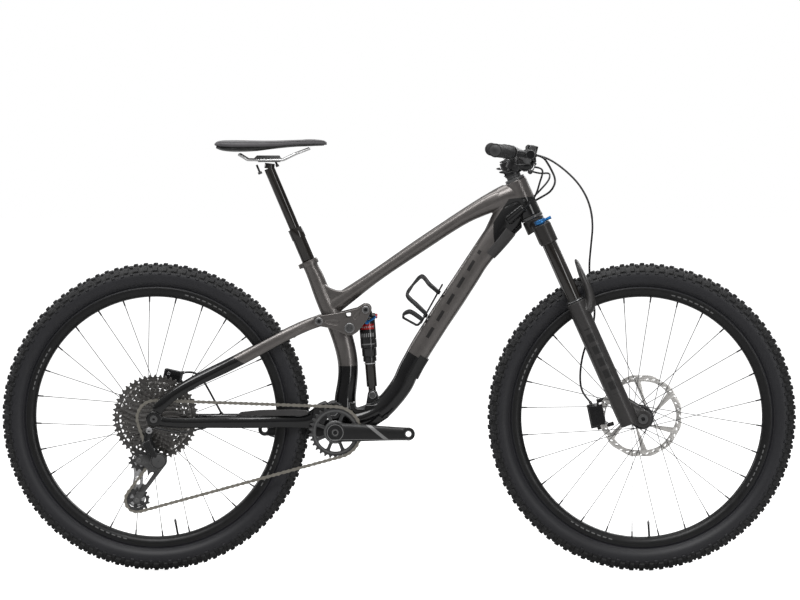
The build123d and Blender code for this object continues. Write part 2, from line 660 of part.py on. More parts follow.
def rotor(axle, y, outer):
    """Brake disc with a slotted band on six arms."""
    cross_ring(axle, y - 0.9, y + 0.9, outer, outer - 15)
    cross_ring(axle, y - 0.9, y + 0.9, 26, 10.7)
    for k in range(6):
        angle = radians(k * 60)
        swept = radians(k * 60 + 38)
        start = (axle[0] + 23 * cos(angle), y, axle[1] + 23 * sin(angle))
        end = (axle[0] + (outer - 10) * cos(swept), y, axle[1] + (outer - 10) * sin(swept))
        way = Vector(*end) - Vector(*start)
        with Locations(Plane(origin=start, x_dir=(0, 1, 0), z_dir=way)):
            Box(1.8, 7, way.length, align=BASE)
    for k in range(24):
        angle = radians(k * 15)
        hole = (axle[0] + (outer - 7.5) * cos(angle), axle[1] + (outer - 7.5) * sin(angle))
        cross_bar(hole, y - 2, y + 2, 3.2, Mode.SUBTRACT)


with BuildPart() as front_rotor:
    rotor(FRONT_AXLE, 40.0, 100.0)
keep("front_rotor", front_rotor.part)

with BuildPart() as rear_rotor:
    rotor(REAR_AXLE, 57.0, 90.0)
keep("rear_rotor", rear_rotor.part)

# ---- rear triangle --------------------------------------------------------------------------
CHAINSTAY = [
    (-200, 39.2, 371, 42, 11),
    (-225, 39.5, 363, 32, 11),
    (-255, 42.5, 362, 29, 12),
    (-300, 48, 362, 28, 13),
    (-380, 54.5, 361.5, 28, 14),
    (-450, 64, 361.5, 26, 14),
    (-500, 73, 361.5, 25, 12),
    (-545, 81, 362.5, 25, 9),
    (-572, 84.2, 366, 27, 7.6),
]
YOKE = [(-205, 352), (-205, 393), (-193, 402), (-178, 408), (-170, 400), (-170, 372), (-180, 352)]
with BuildPart() as chainstay:
    both_sides(CHAINSTAY)
    side_plate(YOKE, 44.8, -44.8)
    for side in (-1, 1):
        cross_bar(MAIN_PIVOT, side * 33.5, side * 44.2, 21)
        cross_bar(REAR_AXLE, side * 80.4, side * 88, 18)
    bar((-455, -66, 354), (-474, -69, 347.5), 4.2)
    bar((-424, 60, 362), (-432, 62, 378), 4.2)
    cross_bar(MAIN_PIVOT, -33.4, 33.4, 22, Mode.SUBTRACT)
    cross_bar(BOTTOM_BRACKET, -43, 43, 27, Mode.SUBTRACT)
    cross_bar(MAIN_PIVOT, -60, 60, 7.5, Mode.SUBTRACT)
    cross_bar(REAR_AXLE, -80.3, 80.3, 22, Mode.SUBTRACT)
    cross_bar(REAR_AXLE, -100, 100, 6.1, Mode.SUBTRACT)
keep("chainstay", chainstay.part)

GUARD = [(-390, 377), (-378, 386), (-330, 391), (-250, 393), (-222, 391), (-214, 386), (-222, 379), (-232, 377.5)]
with BuildPart() as chainstay_guard:
    side_plate(GUARD, -36, -60)
    split(bisect_by=Plane(origin=(-300, -41.8, 380), x_dir=(0, 0, 1), z_dir=(-0.05, -1, 0)), keep=Keep.TOP)
    split(bisect_by=Plane(origin=(-300, -54.2, 380), x_dir=(0, 0, 1), z_dir=(0.05, 1, 0)), keep=Keep.TOP)
keep("chainstay_guard", chainstay_guard.part)

with BuildPart() as rear_axle:
    cross_bar(REAR_AXLE, -91, 91, 6)
    cross_bar(REAR_AXLE, -92, -88.2, 9)
    cross_bar(REAR_AXLE, 88.2, 92, 9)
    cross_bar(REAR_AXLE, -93, -89, 3, Mode.SUBTRACT)
keep("rear_axle", rear_axle.part)

SEATSTAY = [
    (-185, 29.2, 604.5, 27, 8),
    (-215, 29.5, 594.5, 27, 9),
    (-240, 34, 584, 27, 11),
    (-275, 40.5, 567, 27, 11),
    (-330, 44.5, 538, 28, 11),
    (-400, 51, 501, 28, 12),
    (-450, 56, 477, 27, 12),
    (-490, 65.5, 457, 26, 10),
    (-530, 72.5, 433, 26, 9),
    (-560, 76.5, 410, 27, 7.5),
    (-578, 77.2, 388, 28, 5.8),
]
with BuildPart() as seatstay:
    both_sides(SEATSTAY)
    for side in (-1, 1):
        cross_bar(STAY_PIVOT, side * 25.3, side * 33.2, 13)
        cross_bar(REAR_AXLE, side * 74.2, side * 80.1, 19)
    bar((-251, -39, 570), (-251, 39, 570), 6.5)
    cross_bar(REAR_AXLE, -100, 100, 6.2, Mode.SUBTRACT)
    cross_bar(REAR_AXLE, -74.1, 74.1, 24, Mode.SUBTRACT)
keep("seatstay", seatstay.part)

with BuildPart() as rear_caliper:
    with Locations(Plane(origin=(-548, 66, 466), x_dir=(0, 1, 0), z_dir=(0.88, 0, -0.2))):
        Box(13, 26, 46)
    with Locations(Plane(origin=(-548, 49, 466), x_dir=(0, 1, 0), z_dir=(0.88, 0, -0.2))):
        Box(9, 26, 42)
    with Locations(Plane(origin=(-546, 57, 475), x_dir=(0, 1, 0), z_dir=(0.88, 0, -0.2))):
        Box(26, 11, 40)
    bar((-545, 66, 471), (-520, 66, 474), 4)
    bar((-560, 69, 460), (-560, 71, 432), 5)
    bar((-532, 69, 456), (-522, 70, 440), 5)
    cross_bar(REAR_AXLE, 54, 60, 92, Mode.SUBTRACT)
keep("rear_caliper", rear_caliper.part)

ROCKER_OUTLINE = [(-201, 596), (-203, 610), (-190, 616.5), (-140, 624), (-100, 634), (-84, 644), (-70, 641),
                  (-66, 628), (-76, 606), (-98, 578), (-110, 570), (-126, 571), (-160, 586), (-188, 591)]
with BuildPart() as rocker:
    for side in (-1, 1):
        side_plate(ROCKER_OUTLINE, max(side * 34, side * 41), min(side * 34, side * 41))
        cross_bar(STAY_PIVOT, side * 34, side * 41, 13)
        cross_bar(SHOCK_TOP, side * 34, side * 41, 13)
        cross_bar(ROCKER_PIVOT, side * 24, side * 41, 16.5)
        cross_bar(SHOCK_TOP, side * 28, side * 41, 11)
        cross_bar(STAY_PIVOT, side * 41, side * 43.5, 8)
        cross_bar(SHOCK_TOP, side * 41, side * 43, 7)
    cross_bar(ROCKER_PIVOT, -50, 50, 7.5, Mode.SUBTRACT)
keep("rocker", rocker.part)

# ---- shock ----------------------------------------------------------------------------------
shock_way = (Vector(*side_point(SHOCK_TOP)) - Vector(*side_point(SHOCK_EYE))).normalized()


def shock_point(up):
    """Point on the shock's axis, measured up from its lower eye."""
    return tuple(Vector(*side_point(SHOCK_EYE)) + shock_way * up)


with BuildPart() as shock_shaft:
    cross_bar(SHOCK_EYE, -11, 11, 10.5)
    bar(shock_point(4), shock_point(22), 9)
    bar(shock_point(20), shock_point(136), DAMPER_R)
    cross_bar(SHOCK_EYE, -12, 12, 4.1, Mode.SUBTRACT)
keep("shock_shaft", shock_shaft.part)

with BuildPart() as shock_body:
    bar(shock_point(84), shock_point(186), 19.5)
    bar(shock_point(80), shock_point(92), 16)
    cross_bar(SHOCK_TOP, -27.5, 27.5, 10)
    bar(shock_point(184), shock_point(204), 14)
    bar(shock_point(79), shock_point(195), DAMPER_R + 0.15, Mode.SUBTRACT)
keep("shock_body", shock_body.part)

LEVER_SHAFT = (shock_point(176)[0], shock_point(176)[2])
with BuildPart() as shock_lever:
    cross_bar(LEVER_SHAFT, -26.4, -20.4, 5)
    limb([
        (LEVER_SHAFT[0], -24.5, LEVER_SHAFT[1], 6, 8),
        (LEVER_SHAFT[0] + 12, -25, LEVER_SHAFT[1] + 6, 5, 7),
        (LEVER_SHAFT[0] + 22, -26, LEVER_SHAFT[1] + 14, 5, 8),
    ])
keep("shock_lever", shock_lever.part)


# ---- crank and chain ------------------------------------------------------------------------
def pitch_radius(teeth):
    """Radius at which the chain's pins run round a sprocket."""
    return CHAIN_PITCH / 2 / sin(pi / teeth)


def toothed_disc(centre, y, teeth, thick, bore):
    """Sprocket plate with a scalloped edge, its bore open."""
    pitch = pitch_radius(teeth)
    with BuildSketch(Plane(origin=side_point(centre, y + thick / 2), x_dir=(1, 0, 0), z_dir=(0, -1, 0))) as face:
        Circle(pitch + 3.2)
        with PolarLocations(pitch + 0.8, teeth):
            Circle(4.3, mode=Mode.SUBTRACT)
        Circle(bore, mode=Mode.SUBTRACT)
    extrude(face.sketch, amount=thick)


# The spindle and the two arms are three pieces that meet face to face.
with BuildPart() as crank_arms:
    cross_bar(BOTTOM_BRACKET, -52.9, 56.9, 14.4)
    for side in (-1, 1):
        reach = -side
        limb([
            (BOTTOM_BRACKET[0], side * 67, BOTTOM_BRACKET[1], 46, 15),
            (BOTTOM_BRACKET[0] + reach * 50, side * 68.5, BOTTOM_BRACKET[1] - 0.5, 42, 14),
            (BOTTOM_BRACKET[0] + reach * 110, side * 71, BOTTOM_BRACKET[1] - 1.5, 36, 13),
            (BOTTOM_BRACKET[0] + reach * CRANK_LENGTH, side * 73, BOTTOM_BRACKET[1] - 3, 31, 12.5),
        ])
        cross_bar(BOTTOM_BRACKET, side * 57, side * 75, 22)
        tip = (BOTTOM_BRACKET[0] + reach * CRANK_LENGTH, BOTTOM_BRACKET[1] - 3)
        cross_bar(tip, side * 67, side * 79, 15.5)
        cross_bar(tip, side * 60, side * 85, PEDAL_HOLE_R, Mode.SUBTRACT)
        cross_bar(BOTTOM_BRACKET, side * 70, side * 90, 9, Mode.SUBTRACT)
    cross_bar(BOTTOM_BRACKET, -57.5, -53, 17)
keep("crank_arms", crank_arms.part)

with BuildPart() as chainring:
    toothed_disc(BOTTOM_BRACKET, CHAIN_Y, CHAINRING_TEETH, 2.0, 51)
    cross_ring(BOTTOM_BRACKET, CHAIN_Y - 1.5, CHAIN_Y + 1.5, 26, 17.1)
    for k in range(8):
        angle = radians(22.5 + k * 45)
        start = (BOTTOM_BRACKET[0] + 22 * cos(angle), CHAIN_Y, BOTTOM_BRACKET[1] + 22 * sin(angle))
        end = (BOTTOM_BRACKET[0] + 53 * cos(angle), CHAIN_Y, BOTTOM_BRACKET[1] + 53 * sin(angle))
        way = Vector(*end) - Vector(*start)
        with Locations(Plane(origin=start, x_dir=(0, 1, 0), z_dir=way)):
            Box(2.4, 7, way.length, align=BASE)
keep("chainring", chainring.part)

with BuildPart() as cassette:
    cross_bar(REAR_AXLE, -73.9, -26, 14)
    for i, teeth in enumerate(SPROCKET_TEETH):
        y = CHAIN_Y + (DRIVEN_SPROCKET - i) * SPROCKET_SPACING
        if i == 0:
            bore = 80
        elif i < 4:
            bore = pitch_radius(teeth) - 12
        else:
            bore = 13
        toothed_disc(REAR_AXLE, y, teeth, 1.6, bore)
    for k in range(6):
        angle = radians(k * 60)
        for i, teeth in enumerate(SPROCKET_TEETH[:4]):
            y = CHAIN_Y + (DRIVEN_SPROCKET - i) * SPROCKET_SPACING
            inner = (REAR_AXLE[0] + 10 * cos(angle), y, REAR_AXLE[1] + 10 * sin(angle))
            reach = pitch_radius(teeth) - 8
            swept = angle + 0.35
            outer = (REAR_AXLE[0] + reach * cos(swept), y, REAR_AXLE[1] + reach * sin(swept))
            way = Vector(*outer) - Vector(*inner)
            with Locations(Plane(origin=inner, x_dir=(0, 1, 0), z_dir=way)):
                Box(1.6, 7, way.length, align=BASE)
    cross_bar(REAR_AXLE, -71, -30, 16)
    cross_bar(REAR_AXLE, -80, -20, 6.1, Mode.SUBTRACT)
keep("cassette", cassette.part)


def chain_run(wheels):
    """Closed chain line round wheels of (centre, signed pitch radius), clockwise positive."""
    ways = []
    for (centre, radius), (following, other) in zip(wheels, wheels[1:] + wheels[:1]):
        dx, dz = following[0] - centre[0], following[1] - centre[1]
        ways.append(atan2(dz, dx) - asin((radius - other) / hypot(dx, dz)))
    for i, (centre, radius) in enumerate(wheels):
        way_in, way_out = ways[i - 1], ways[i]
        turn = (way_in - way_out) % (2 * pi) if radius > 0 else -((way_out - way_in) % (2 * pi))
        touches = []
        for way in (way_in, way_in - turn / 2, way_in - turn):
            touches.append((centre[0] - radius * sin(way), centre[1] + radius * cos(way)))
        yield touches


CHAIN_WHEELS = [
    (BOTTOM_BRACKET, pitch_radius(CHAINRING_TEETH)),
    (TENSION_PULLEY, pitch_radius(TENSION_TEETH)),
    (GUIDE_PULLEY, -pitch_radius(GUIDE_TEETH)),
    (REAR_AXLE, pitch_radius(SPROCKET_TEETH[DRIVEN_SPROCKET])),
]
chain_arcs = list(chain_run(CHAIN_WHEELS))


def chain_face(y, growth):
    """Face inside the chain's closed line, grown or shrunk, in the plane at distance y."""
    with BuildSketch(Plane.XZ.offset(-y)) as face:
        with BuildLine():
            for i, touches in enumerate(chain_arcs):
                ThreePointArc(*touches)
                Line(touches[2], chain_arcs[(i + 1) % len(chain_arcs)][0])
        make_face()
        offset(amount=growth)
    return face.sketch


with BuildPart() as chain:
    for plate_y in (CHAIN_Y - 1.3, CHAIN_Y + 2.4):
        extrude(chain_face(plate_y, CHAIN_PLATE_HALF) - chain_face(plate_y, -CHAIN_PLATE_HALF), amount=1.1)
    for i in (0, 3):
        start, end = chain_arcs[i][2], chain_arcs[(i + 1) % len(chain_arcs)][0]
        length = hypot(end[0] - start[0], end[1] - start[1])
        count = int((length - 50) / CHAIN_PITCH)
        for k in range(count):
            share = (25 + k * CHAIN_PITCH) / length
            pin = (start[0] + (end[0] - start[0]) * share, start[1] + (end[1] - start[1]) * share)
            cross_bar(pin, CHAIN_Y - 2.4, CHAIN_Y + 2.4, 2.6)
keep("chain", chain.part)

# ---- derailleur -----------------------------------------------------------------------------
with BuildPart() as derailleur_body:
    side_plate([(-590, 350), (-598, 349), (-606, 338), (-598, 333), (-586, 338)], -88.6, -92)
    bar((-581, -97, 352), (-597, -96, 352), 3.6)
    cross_bar((-594.1, 345), -100, -88.6, 9)
    bar((-594.1, -93, 345), (-600, -93, 318), 9)
    bar((-600, -92, 322), (-578, -84, 280), 12)
    bar((-606, -92, 316), (-592, -80, 282), 7)
    cross_bar(CAGE_PIVOT, -96, -62, 19)
    cross_bar(REAR_AXLE, -110, -60, 21, Mode.SUBTRACT)
keep("derailleur_body", derailleur_body.part)

with BuildPart() as derailleur_cage:
    OUTER_CAGE = [(-590, 286), (-560, 282), (-556, 262), (-572, 244), (-606, 204), (-608, 170), (-620, 152),
                  (-636, 152), (-650, 168), (-648, 186), (-630, 204), (-606, 240), (-612, 256), (-634, 262),
                  (-636, 280), (-622, 288)]
    side_plate(OUTER_CAGE, -57.0, -59.4)
    INNER_CAGE = [(-634, 284), (-610, 284), (-606, 262), (-612, 236), (-614, 205), (-606, 186), (-612, 162),
                  (-626, 156), (-646, 162), (-650, 182), (-640, 202), (-634, 236), (-638, 262)]
    side_plate(INNER_CAGE, -44.6, -46.6)
    cross_bar(CAGE_PIVOT, -61.8, -57, 17)
    for wheel in (GUIDE_PULLEY, TENSION_PULLEY):
        cross_bar(wheel, -59.4, -44.6, 4)
        cross_bar(wheel, -61, -59, 6)
keep("derailleur_cage", derailleur_cage.part)

PULLEYS = [("guide_pulley", GUIDE_PULLEY, GUIDE_TEETH), ("tension_pulley", TENSION_PULLEY, TENSION_TEETH)]
for name, wheel, teeth in PULLEYS:
    with BuildPart() as pulley:
        toothed_disc(wheel, CHAIN_Y, teeth, 2.0, 6)
        cross_ring(wheel, CHAIN_Y - 3.5, CHAIN_Y + 3.5, 9, 4.1)
    keep(name, pulley.part)

# ---- hoses and cable housings ---------------------------------------------------------------
FRONT_HOSE = [
    (327.4, 180, 1001), (344, 176.4, 998.5), (372, 165, 987), (405, 152, 963), (438, 137, 930), (462, 121, 886),
    (471, 109, 834), (465, 101, 778), (460, 98, 722), (468, 98, 666), (477, 99, 614), (464, 98, 566),
    (446, 96, 520), (439, 93, 474), (440, 86, 438), (450, 75, 417), (461.5, 64.6, 404.8),
]
REAR_HOSE = [
    (327.4, -180, 1001), (342, -176.8, 998), (354, -160, 981), (365, -128, 962), (372, -88, 948), (374, -46, 933),
    (365, -8, 914), (347, 20, 902), (323.2, 31, 888.8), (303, 29.6, 871.8),
]
DROPPER_HOUSING = [
    (312.2, 173.9, 963.9), (328, 166.8, 958.4), (347, 148, 955), (360, 118, 957), (366, 86, 954), (362, 56, 940),
    (344, 38, 920), (319.2, 32, 894.8), (298.4, 29.6, 877.4),
]
SHIFT_HOUSING = [
    (318.2, -175.9, 974), (333, -170.3, 972.6), (342, -148, 966), (341, -116, 953), (336, -84, 936),
    (331, -55, 914), (319.8, -35, 890.6), (300.7, -29.6, 874.6),
]
REAR_BRAKE_TAIL = [
    (-519.3, 66, 474.1), (-504, 68, 475.8), (-488, 74, 469), (-474, 76, 452), (-462, 76, 431), (-451, 74, 411),
    (-441, 68, 394), (-432, 62, 378),
]
SHIFT_TAIL = [
    (-474, -69, 347.5), (-494, -75, 342.5), (-516, -83, 340), (-540, -92, 342), (-562, -98, 348), (-581, -97, 352),
]
with BuildPart() as cockpit_hoses:
    add(cord("rear_hose", REAR_HOSE, HOSE_R))
    add(cord("dropper_housing", DROPPER_HOUSING, HOUSING_R))
    add(cord("shift_housing", SHIFT_HOUSING, HOUSING_R))
keep("cockpit_hoses", cockpit_hoses.part)

keep("front_brake_hose", cord("front_brake_hose", FRONT_HOSE, HOSE_R))

with BuildPart() as tail_hoses:
    add(cord("rear_brake_tail", REAR_BRAKE_TAIL, HOSE_R))
    add(cord("shift_tail", SHIFT_TAIL, HOUSING_R))
keep("tail_hoses", tail_hoses.part)

# ---- writing out ----------------------------------------------------------------------------
os.makedirs("parts", exist_ok=True)
for name, piece in parts.items():
    export_step(piece, f"parts/{name}.step")
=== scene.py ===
import json
import math

import bmesh
import bpy
from mathutils import Matrix, Vector


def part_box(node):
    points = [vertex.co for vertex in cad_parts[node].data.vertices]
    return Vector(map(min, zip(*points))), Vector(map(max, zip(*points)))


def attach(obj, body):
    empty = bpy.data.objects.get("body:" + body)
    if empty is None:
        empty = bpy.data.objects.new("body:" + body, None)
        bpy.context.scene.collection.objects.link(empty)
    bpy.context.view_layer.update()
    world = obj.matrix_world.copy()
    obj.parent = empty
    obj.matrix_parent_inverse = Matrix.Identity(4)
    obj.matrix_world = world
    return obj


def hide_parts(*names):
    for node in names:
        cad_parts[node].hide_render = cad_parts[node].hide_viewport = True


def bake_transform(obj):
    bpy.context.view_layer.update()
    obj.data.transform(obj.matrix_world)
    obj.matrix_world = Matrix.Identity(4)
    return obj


# The looks of a full-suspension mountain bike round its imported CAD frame.
# Sizes below are millimetres in the row frame; meshes are written in metres.
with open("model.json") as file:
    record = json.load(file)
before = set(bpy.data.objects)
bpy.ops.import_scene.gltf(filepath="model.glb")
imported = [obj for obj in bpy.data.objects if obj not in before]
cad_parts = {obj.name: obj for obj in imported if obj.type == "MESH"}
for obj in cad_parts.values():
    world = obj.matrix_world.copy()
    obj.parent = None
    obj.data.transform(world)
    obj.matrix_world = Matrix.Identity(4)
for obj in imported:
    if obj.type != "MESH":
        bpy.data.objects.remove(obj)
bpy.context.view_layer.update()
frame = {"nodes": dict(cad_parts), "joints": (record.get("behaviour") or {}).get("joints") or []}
cad = frame["nodes"]
MM = 0.001
pivots = {j["name"]: Vector(j["pos_m"]) / MM for j in frame["joints"] if "pos_m" in j}
FRONT = pivots["front_wheel_spin"]
REAR = pivots["rear_wheel_spin"]
BRACKET = pivots["crank_spin"]
MAIN_PIVOT = pivots["rear_suspension"]
ROCKER_PIVOT = pivots["rocker_pivot"]
SHOCK_EYE = pivots["shock_swing"]
STAY_PIVOT = Vector((-190.8, 0, 603.4))
SHOCK_TOP = Vector((-78.9, 0, 631.1))
LEFT = Vector((0, 1, 0))


# ---- local frames ---------------------------------------------------------------------------
def leaning_frame(origin, degrees):
    """Origin, the way ahead and the way up of an axis that leans back."""
    lean = math.radians(degrees)
    ahead = Vector((math.cos(lean), 0, math.sin(lean)))
    return Vector(origin), ahead, Vector((-math.sin(lean), 0, math.cos(lean)))


STEER = leaning_frame((280, 0, 940), 24)
SHOCK_WAY = (SHOCK_TOP - SHOCK_EYE).normalized()
LEG_AHEAD = 13.0
LEG_Y = 68.0


def steer(ahead, y, up):
    return STEER[0] + STEER[1] * ahead + LEFT * y + STEER[2] * up


def shock(up):
    return SHOCK_EYE + SHOCK_WAY * up


# ---- mesh making ----------------------------------------------------------------------------
def object_of(name, verts, faces, smooth=40.0):
    """Object from points in millimetres, with outward faces and soft shading under an angle."""
    mesh = bpy.data.meshes.new(name)
    mesh.from_pydata([Vector(v) * MM for v in verts], [], faces)
    return add_mesh(name, mesh, smooth)


def add_mesh(name, mesh, smooth=40.0):
    work = bmesh.new()
    work.from_mesh(mesh)
    bmesh.ops.recalc_face_normals(work, faces=work.faces)
    work.to_mesh(mesh)
    work.free()
    shade(mesh, smooth)
    piece = bpy.data.objects.new(name, mesh)
    bpy.context.scene.collection.objects.link(piece)
    return piece


def shade(mesh, smooth):
    mesh.shade_smooth()
    mesh.set_sharp_from_angle(angle=math.radians(smooth))


def skin(rings, closed=False):
    """Faces between rings of equal length, with end caps unless they close on themselves."""
    count, size = len(rings), len(rings[0])
    verts = [p for ring in rings for p in ring]
    faces = []
    for i in range(count if closed else count - 1):
        j = (i + 1) % count
        for k in range(size):
            m = (k + 1) % size
            faces.append((i * size + k, i * size + m, j * size + m, j * size + k))
    if not closed:
        faces.append(tuple(range(size)))
        faces.append(tuple((count - 1) * size + k for k in range(size)))
    return verts, faces


def across_of(way):
    """Two directions square to a way, the first one as level as it can be."""
    side = LEFT if abs(way.y) < 0.9 else Vector((1, 0, 0))
    first = (side - way * side.dot(way)).normalized()
    return first, way.cross(first)


def lathe(name, profile, origin, way, count=48, hex_from=None, smooth=35.0, closed=False):
    """Turned piece: a profile of (radius, along) about a way. From hex_from on it is six-sided."""
    way = Vector(way).normalized()
    first, second = across_of(way)
    rings = []
    for i, (radius, along) in enumerate(profile):
        ring = []
        for k in range(count):
            turn = 2 * math.pi * k / count
            size = radius
            if hex_from is not None and i >= hex_from:
                size = radius / math.cos((turn % (math.pi / 3)) - math.pi / 6)
            ring.append(Vector(origin) + way * along + first * size * math.cos(turn) + second * size
                        * math.sin(turn))
        rings.append(ring)
    return object_of(name, *skin(rings, closed), smooth)


def spread(stations, steps):
    """Stations with smooth ones added between them."""
    found = []
    last = len(stations) - 1
    for i in range(last):
        rows = [stations[max(i - 1, 0)], stations[i], stations[i + 1], stations[min(i + 2, last)]]
        for s in range(steps):
            t = s / steps
            weights = ((-t + 2 * t**2 - t**3) / 2, (2 - 5 * t**2 + 3 * t**3) / 2,
                       (t + 4 * t**2 - 3 * t**3) / 2, (t**3 - t**2) / 2)
            found.append([sum(w * row[c] for w, row in zip(weights, rows)) for c in range(len(rows[0]))])
    found.append(list(stations[-1]))
    return found


def oval(power=2.0, count=36):
    """Section between an ellipse and a box, as (across, up) from -1 to 1."""
    found = []
    for k in range(count):
        turn = 2 * math.pi * k / count
        c, s = math.cos(turn), math.sin(turn)
        found.append((math.copysign(abs(c) ** (2 / power), c), math.copysign(abs(s) ** (2 / power), s)))
    return found


def mirrored(half):
    """Whole section from its right half, listed from the top down."""
    return [(a, b) for a, b in half] + [(-a, b) for a, b in reversed(half[1:-1])]


def limb(name, stations, section=None, steps=6, smooth=50.0, flip=1):
    """Tube through stations of (x, y, z, height, width)."""
    section = section or oval()
    rows = spread([(x, flip * y, z, h, w) for x, y, z, h, w in stations], steps)
    centres = [Vector(row[:3]) for row in rows]
    rings = []
    for i, row in enumerate(rows):
        way = (centres[min(i + 1, len(rows) - 1)] - centres[max(i - 1, 0)]).normalized()
        across, above = across_of(way)
        if above.z < 0 or (abs(above.z) < 0.05 and above.x > 0):
            across, above = -across, -above
        rings.append([centres[i] + across * a * row[4] / 2 + above * b * row[3] / 2 for a, b in section])
    return object_of(name, *skin(rings), smooth)


def rounded(points, radius, steps=4):
    """Outline with its corners rounded off; a corner may bring its own radius as a third value."""
    found = []
    count = len(points)
    for i, point in enumerate(points):
        here = Vector(point[:2])
        size = point[2] if len(point) > 2 else radius
        before = Vector(points[i - 1][:2]) - here
        after = Vector(points[(i + 1) % count][:2]) - here
        cut = min(size, before.length * 0.48, after.length * 0.48)
        start, end = here + before.normalized() * cut, here + after.normalized() * cut
        for s in range(steps + 1):
            t = s / steps
            found.append(tuple(start * (1 - t) ** 2 + here * 2 * t * (1 - t) + end * t**2))
    return found


def ring_outline(centre, radius, count=24):
    return [(centre[0] + radius * math.cos(2 * math.pi * k / count),
             centre[1] + radius * math.sin(2 * math.pi * k / count)) for k in range(count)]


def area(outline):
    return sum(a[0] * b[1] - b[0] * a[1] for a, b in zip(outline, outline[1:] + outline[:1])) / 2


def plate(name, outline, holes, y, thick, edge=0.3, smooth=30.0):
    """Flat plate square to Y from an outline and holes in the side view, with softened edges."""
    curve = bpy.data.curves.new(name, "CURVE")
    curve.dimensions = "2D"
    curve.fill_mode = "BOTH"
    curve.extrude = (thick / 2 - edge) * MM
    curve.bevel_depth = edge * MM
    curve.bevel_resolution = 1
    curve.offset = -edge * MM
    for i, loop in enumerate([outline, *holes]):
        if (area(loop) > 0) != (i == 0):
            loop = loop[::-1]
        spline = curve.splines.new("POLY")
        spline.points.add(len(loop) - 1)
        for spot, (x, z) in zip(spline.points, loop):
            spot.co = (x * MM, z * MM, 0, 1)
        spline.use_cyclic_u = True
    holder = bpy.data.objects.new(name + "_outline", curve)
    mesh = bpy.data.meshes.new_from_object(holder)
    bpy.data.objects.remove(holder)
    mesh.transform(Matrix.Translation((0, y * MM, 0)) @ Matrix.Rotation(math.pi / 2, 4, "X"))
    mesh.name = name
    work = bmesh.new()
    work.from_mesh(mesh)
    bmesh.ops.remove_doubles(work, verts=work.verts, dist=1e-6)
    work.to_mesh(mesh)
    work.free()
    return add_mesh(name, mesh, smooth)


def join(name, pieces, smooth=None):
    """One object from several."""
    work = bmesh.new()
    for piece in pieces:
        work.from_mesh(piece.data)
        bpy.data.objects.remove(piece)
    mesh = bpy.data.meshes.new(name)
    work.to_mesh(mesh)
    work.free()
    if smooth:
        shade(mesh, smooth)
    piece = bpy.data.objects.new(name, mesh)
    bpy.context.scene.collection.objects.link(piece)
    return piece


def settle(piece):
    """Modifiers worked into the mesh."""
    bpy.context.view_layer.update()
    mesh = bpy.data.meshes.new_from_object(piece.evaluated_get(bpy.context.evaluated_depsgraph_get()))
    piece.modifiers.clear()
    piece.data = mesh
    return piece


def melt(name, pieces, voxel, rounds, keep=0.5, smooth=180.0):
    """One flowing skin over overlapping pieces, as a casting or a moulding has."""
    piece = join(name, pieces)
    remesh = piece.modifiers.new("skin", "REMESH")
    remesh.mode = "VOXEL"
    remesh.voxel_size = voxel * MM
    ease = piece.modifiers.new("ease", "SMOOTH")
    ease.factor = 0.5
    ease.iterations = rounds
    if keep < 1:
        thin = piece.modifiers.new("thin", "DECIMATE")
        thin.ratio = keep
    settle(piece)
    shade(piece.data, smooth)
    return piece


def copy_of(node):
    """Free copy of a CAD node's mesh, welded shut."""
    work = bmesh.new()
    work.from_mesh(cad[node].data)
    bmesh.ops.remove_doubles(work, verts=work.verts, dist=2e-6)
    mesh = bpy.data.meshes.new(node + "_copy")
    work.to_mesh(mesh)
    work.free()
    piece = bpy.data.objects.new(node + "_copy", mesh)
    bpy.context.scene.collection.objects.link(piece)
    return piece


def carve(piece, cutters):
    """Take the cutters away from a piece."""
    tool = join(piece.name + "_cut", cutters)
    cut = piece.modifiers.new("cut", "BOOLEAN")
    cut.operation = "DIFFERENCE"
    cut.solver = "EXACT"
    cut.object = tool
    settle(piece)
    bpy.data.objects.remove(tool)
    return piece


def place(piece, body, look, slot=None, *stands_for):
    """Give a piece its material, its body and the nodes that it replaces; the slot is not used."""
    piece.data.materials.clear()
    piece.data.materials.append(look)
    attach(piece, body)
    if stands_for:
        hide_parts(*stands_for)
    return piece


def bolt(spot, way, radius, height, socket=0.45):
    """Round bolt head with a chamfer and a hex socket."""
    profile = [(radius * 0.98, -0.5), (radius, 0), (radius, height * 0.75), (radius * 0.88, height),
               (radius * socket * 1.25, height), (radius * socket, height - 0.2),
               (radius * socket * 0.98, height * 0.35)]
    return lathe("bolt", profile, spot, way, 24, hex_from=5, smooth=30)


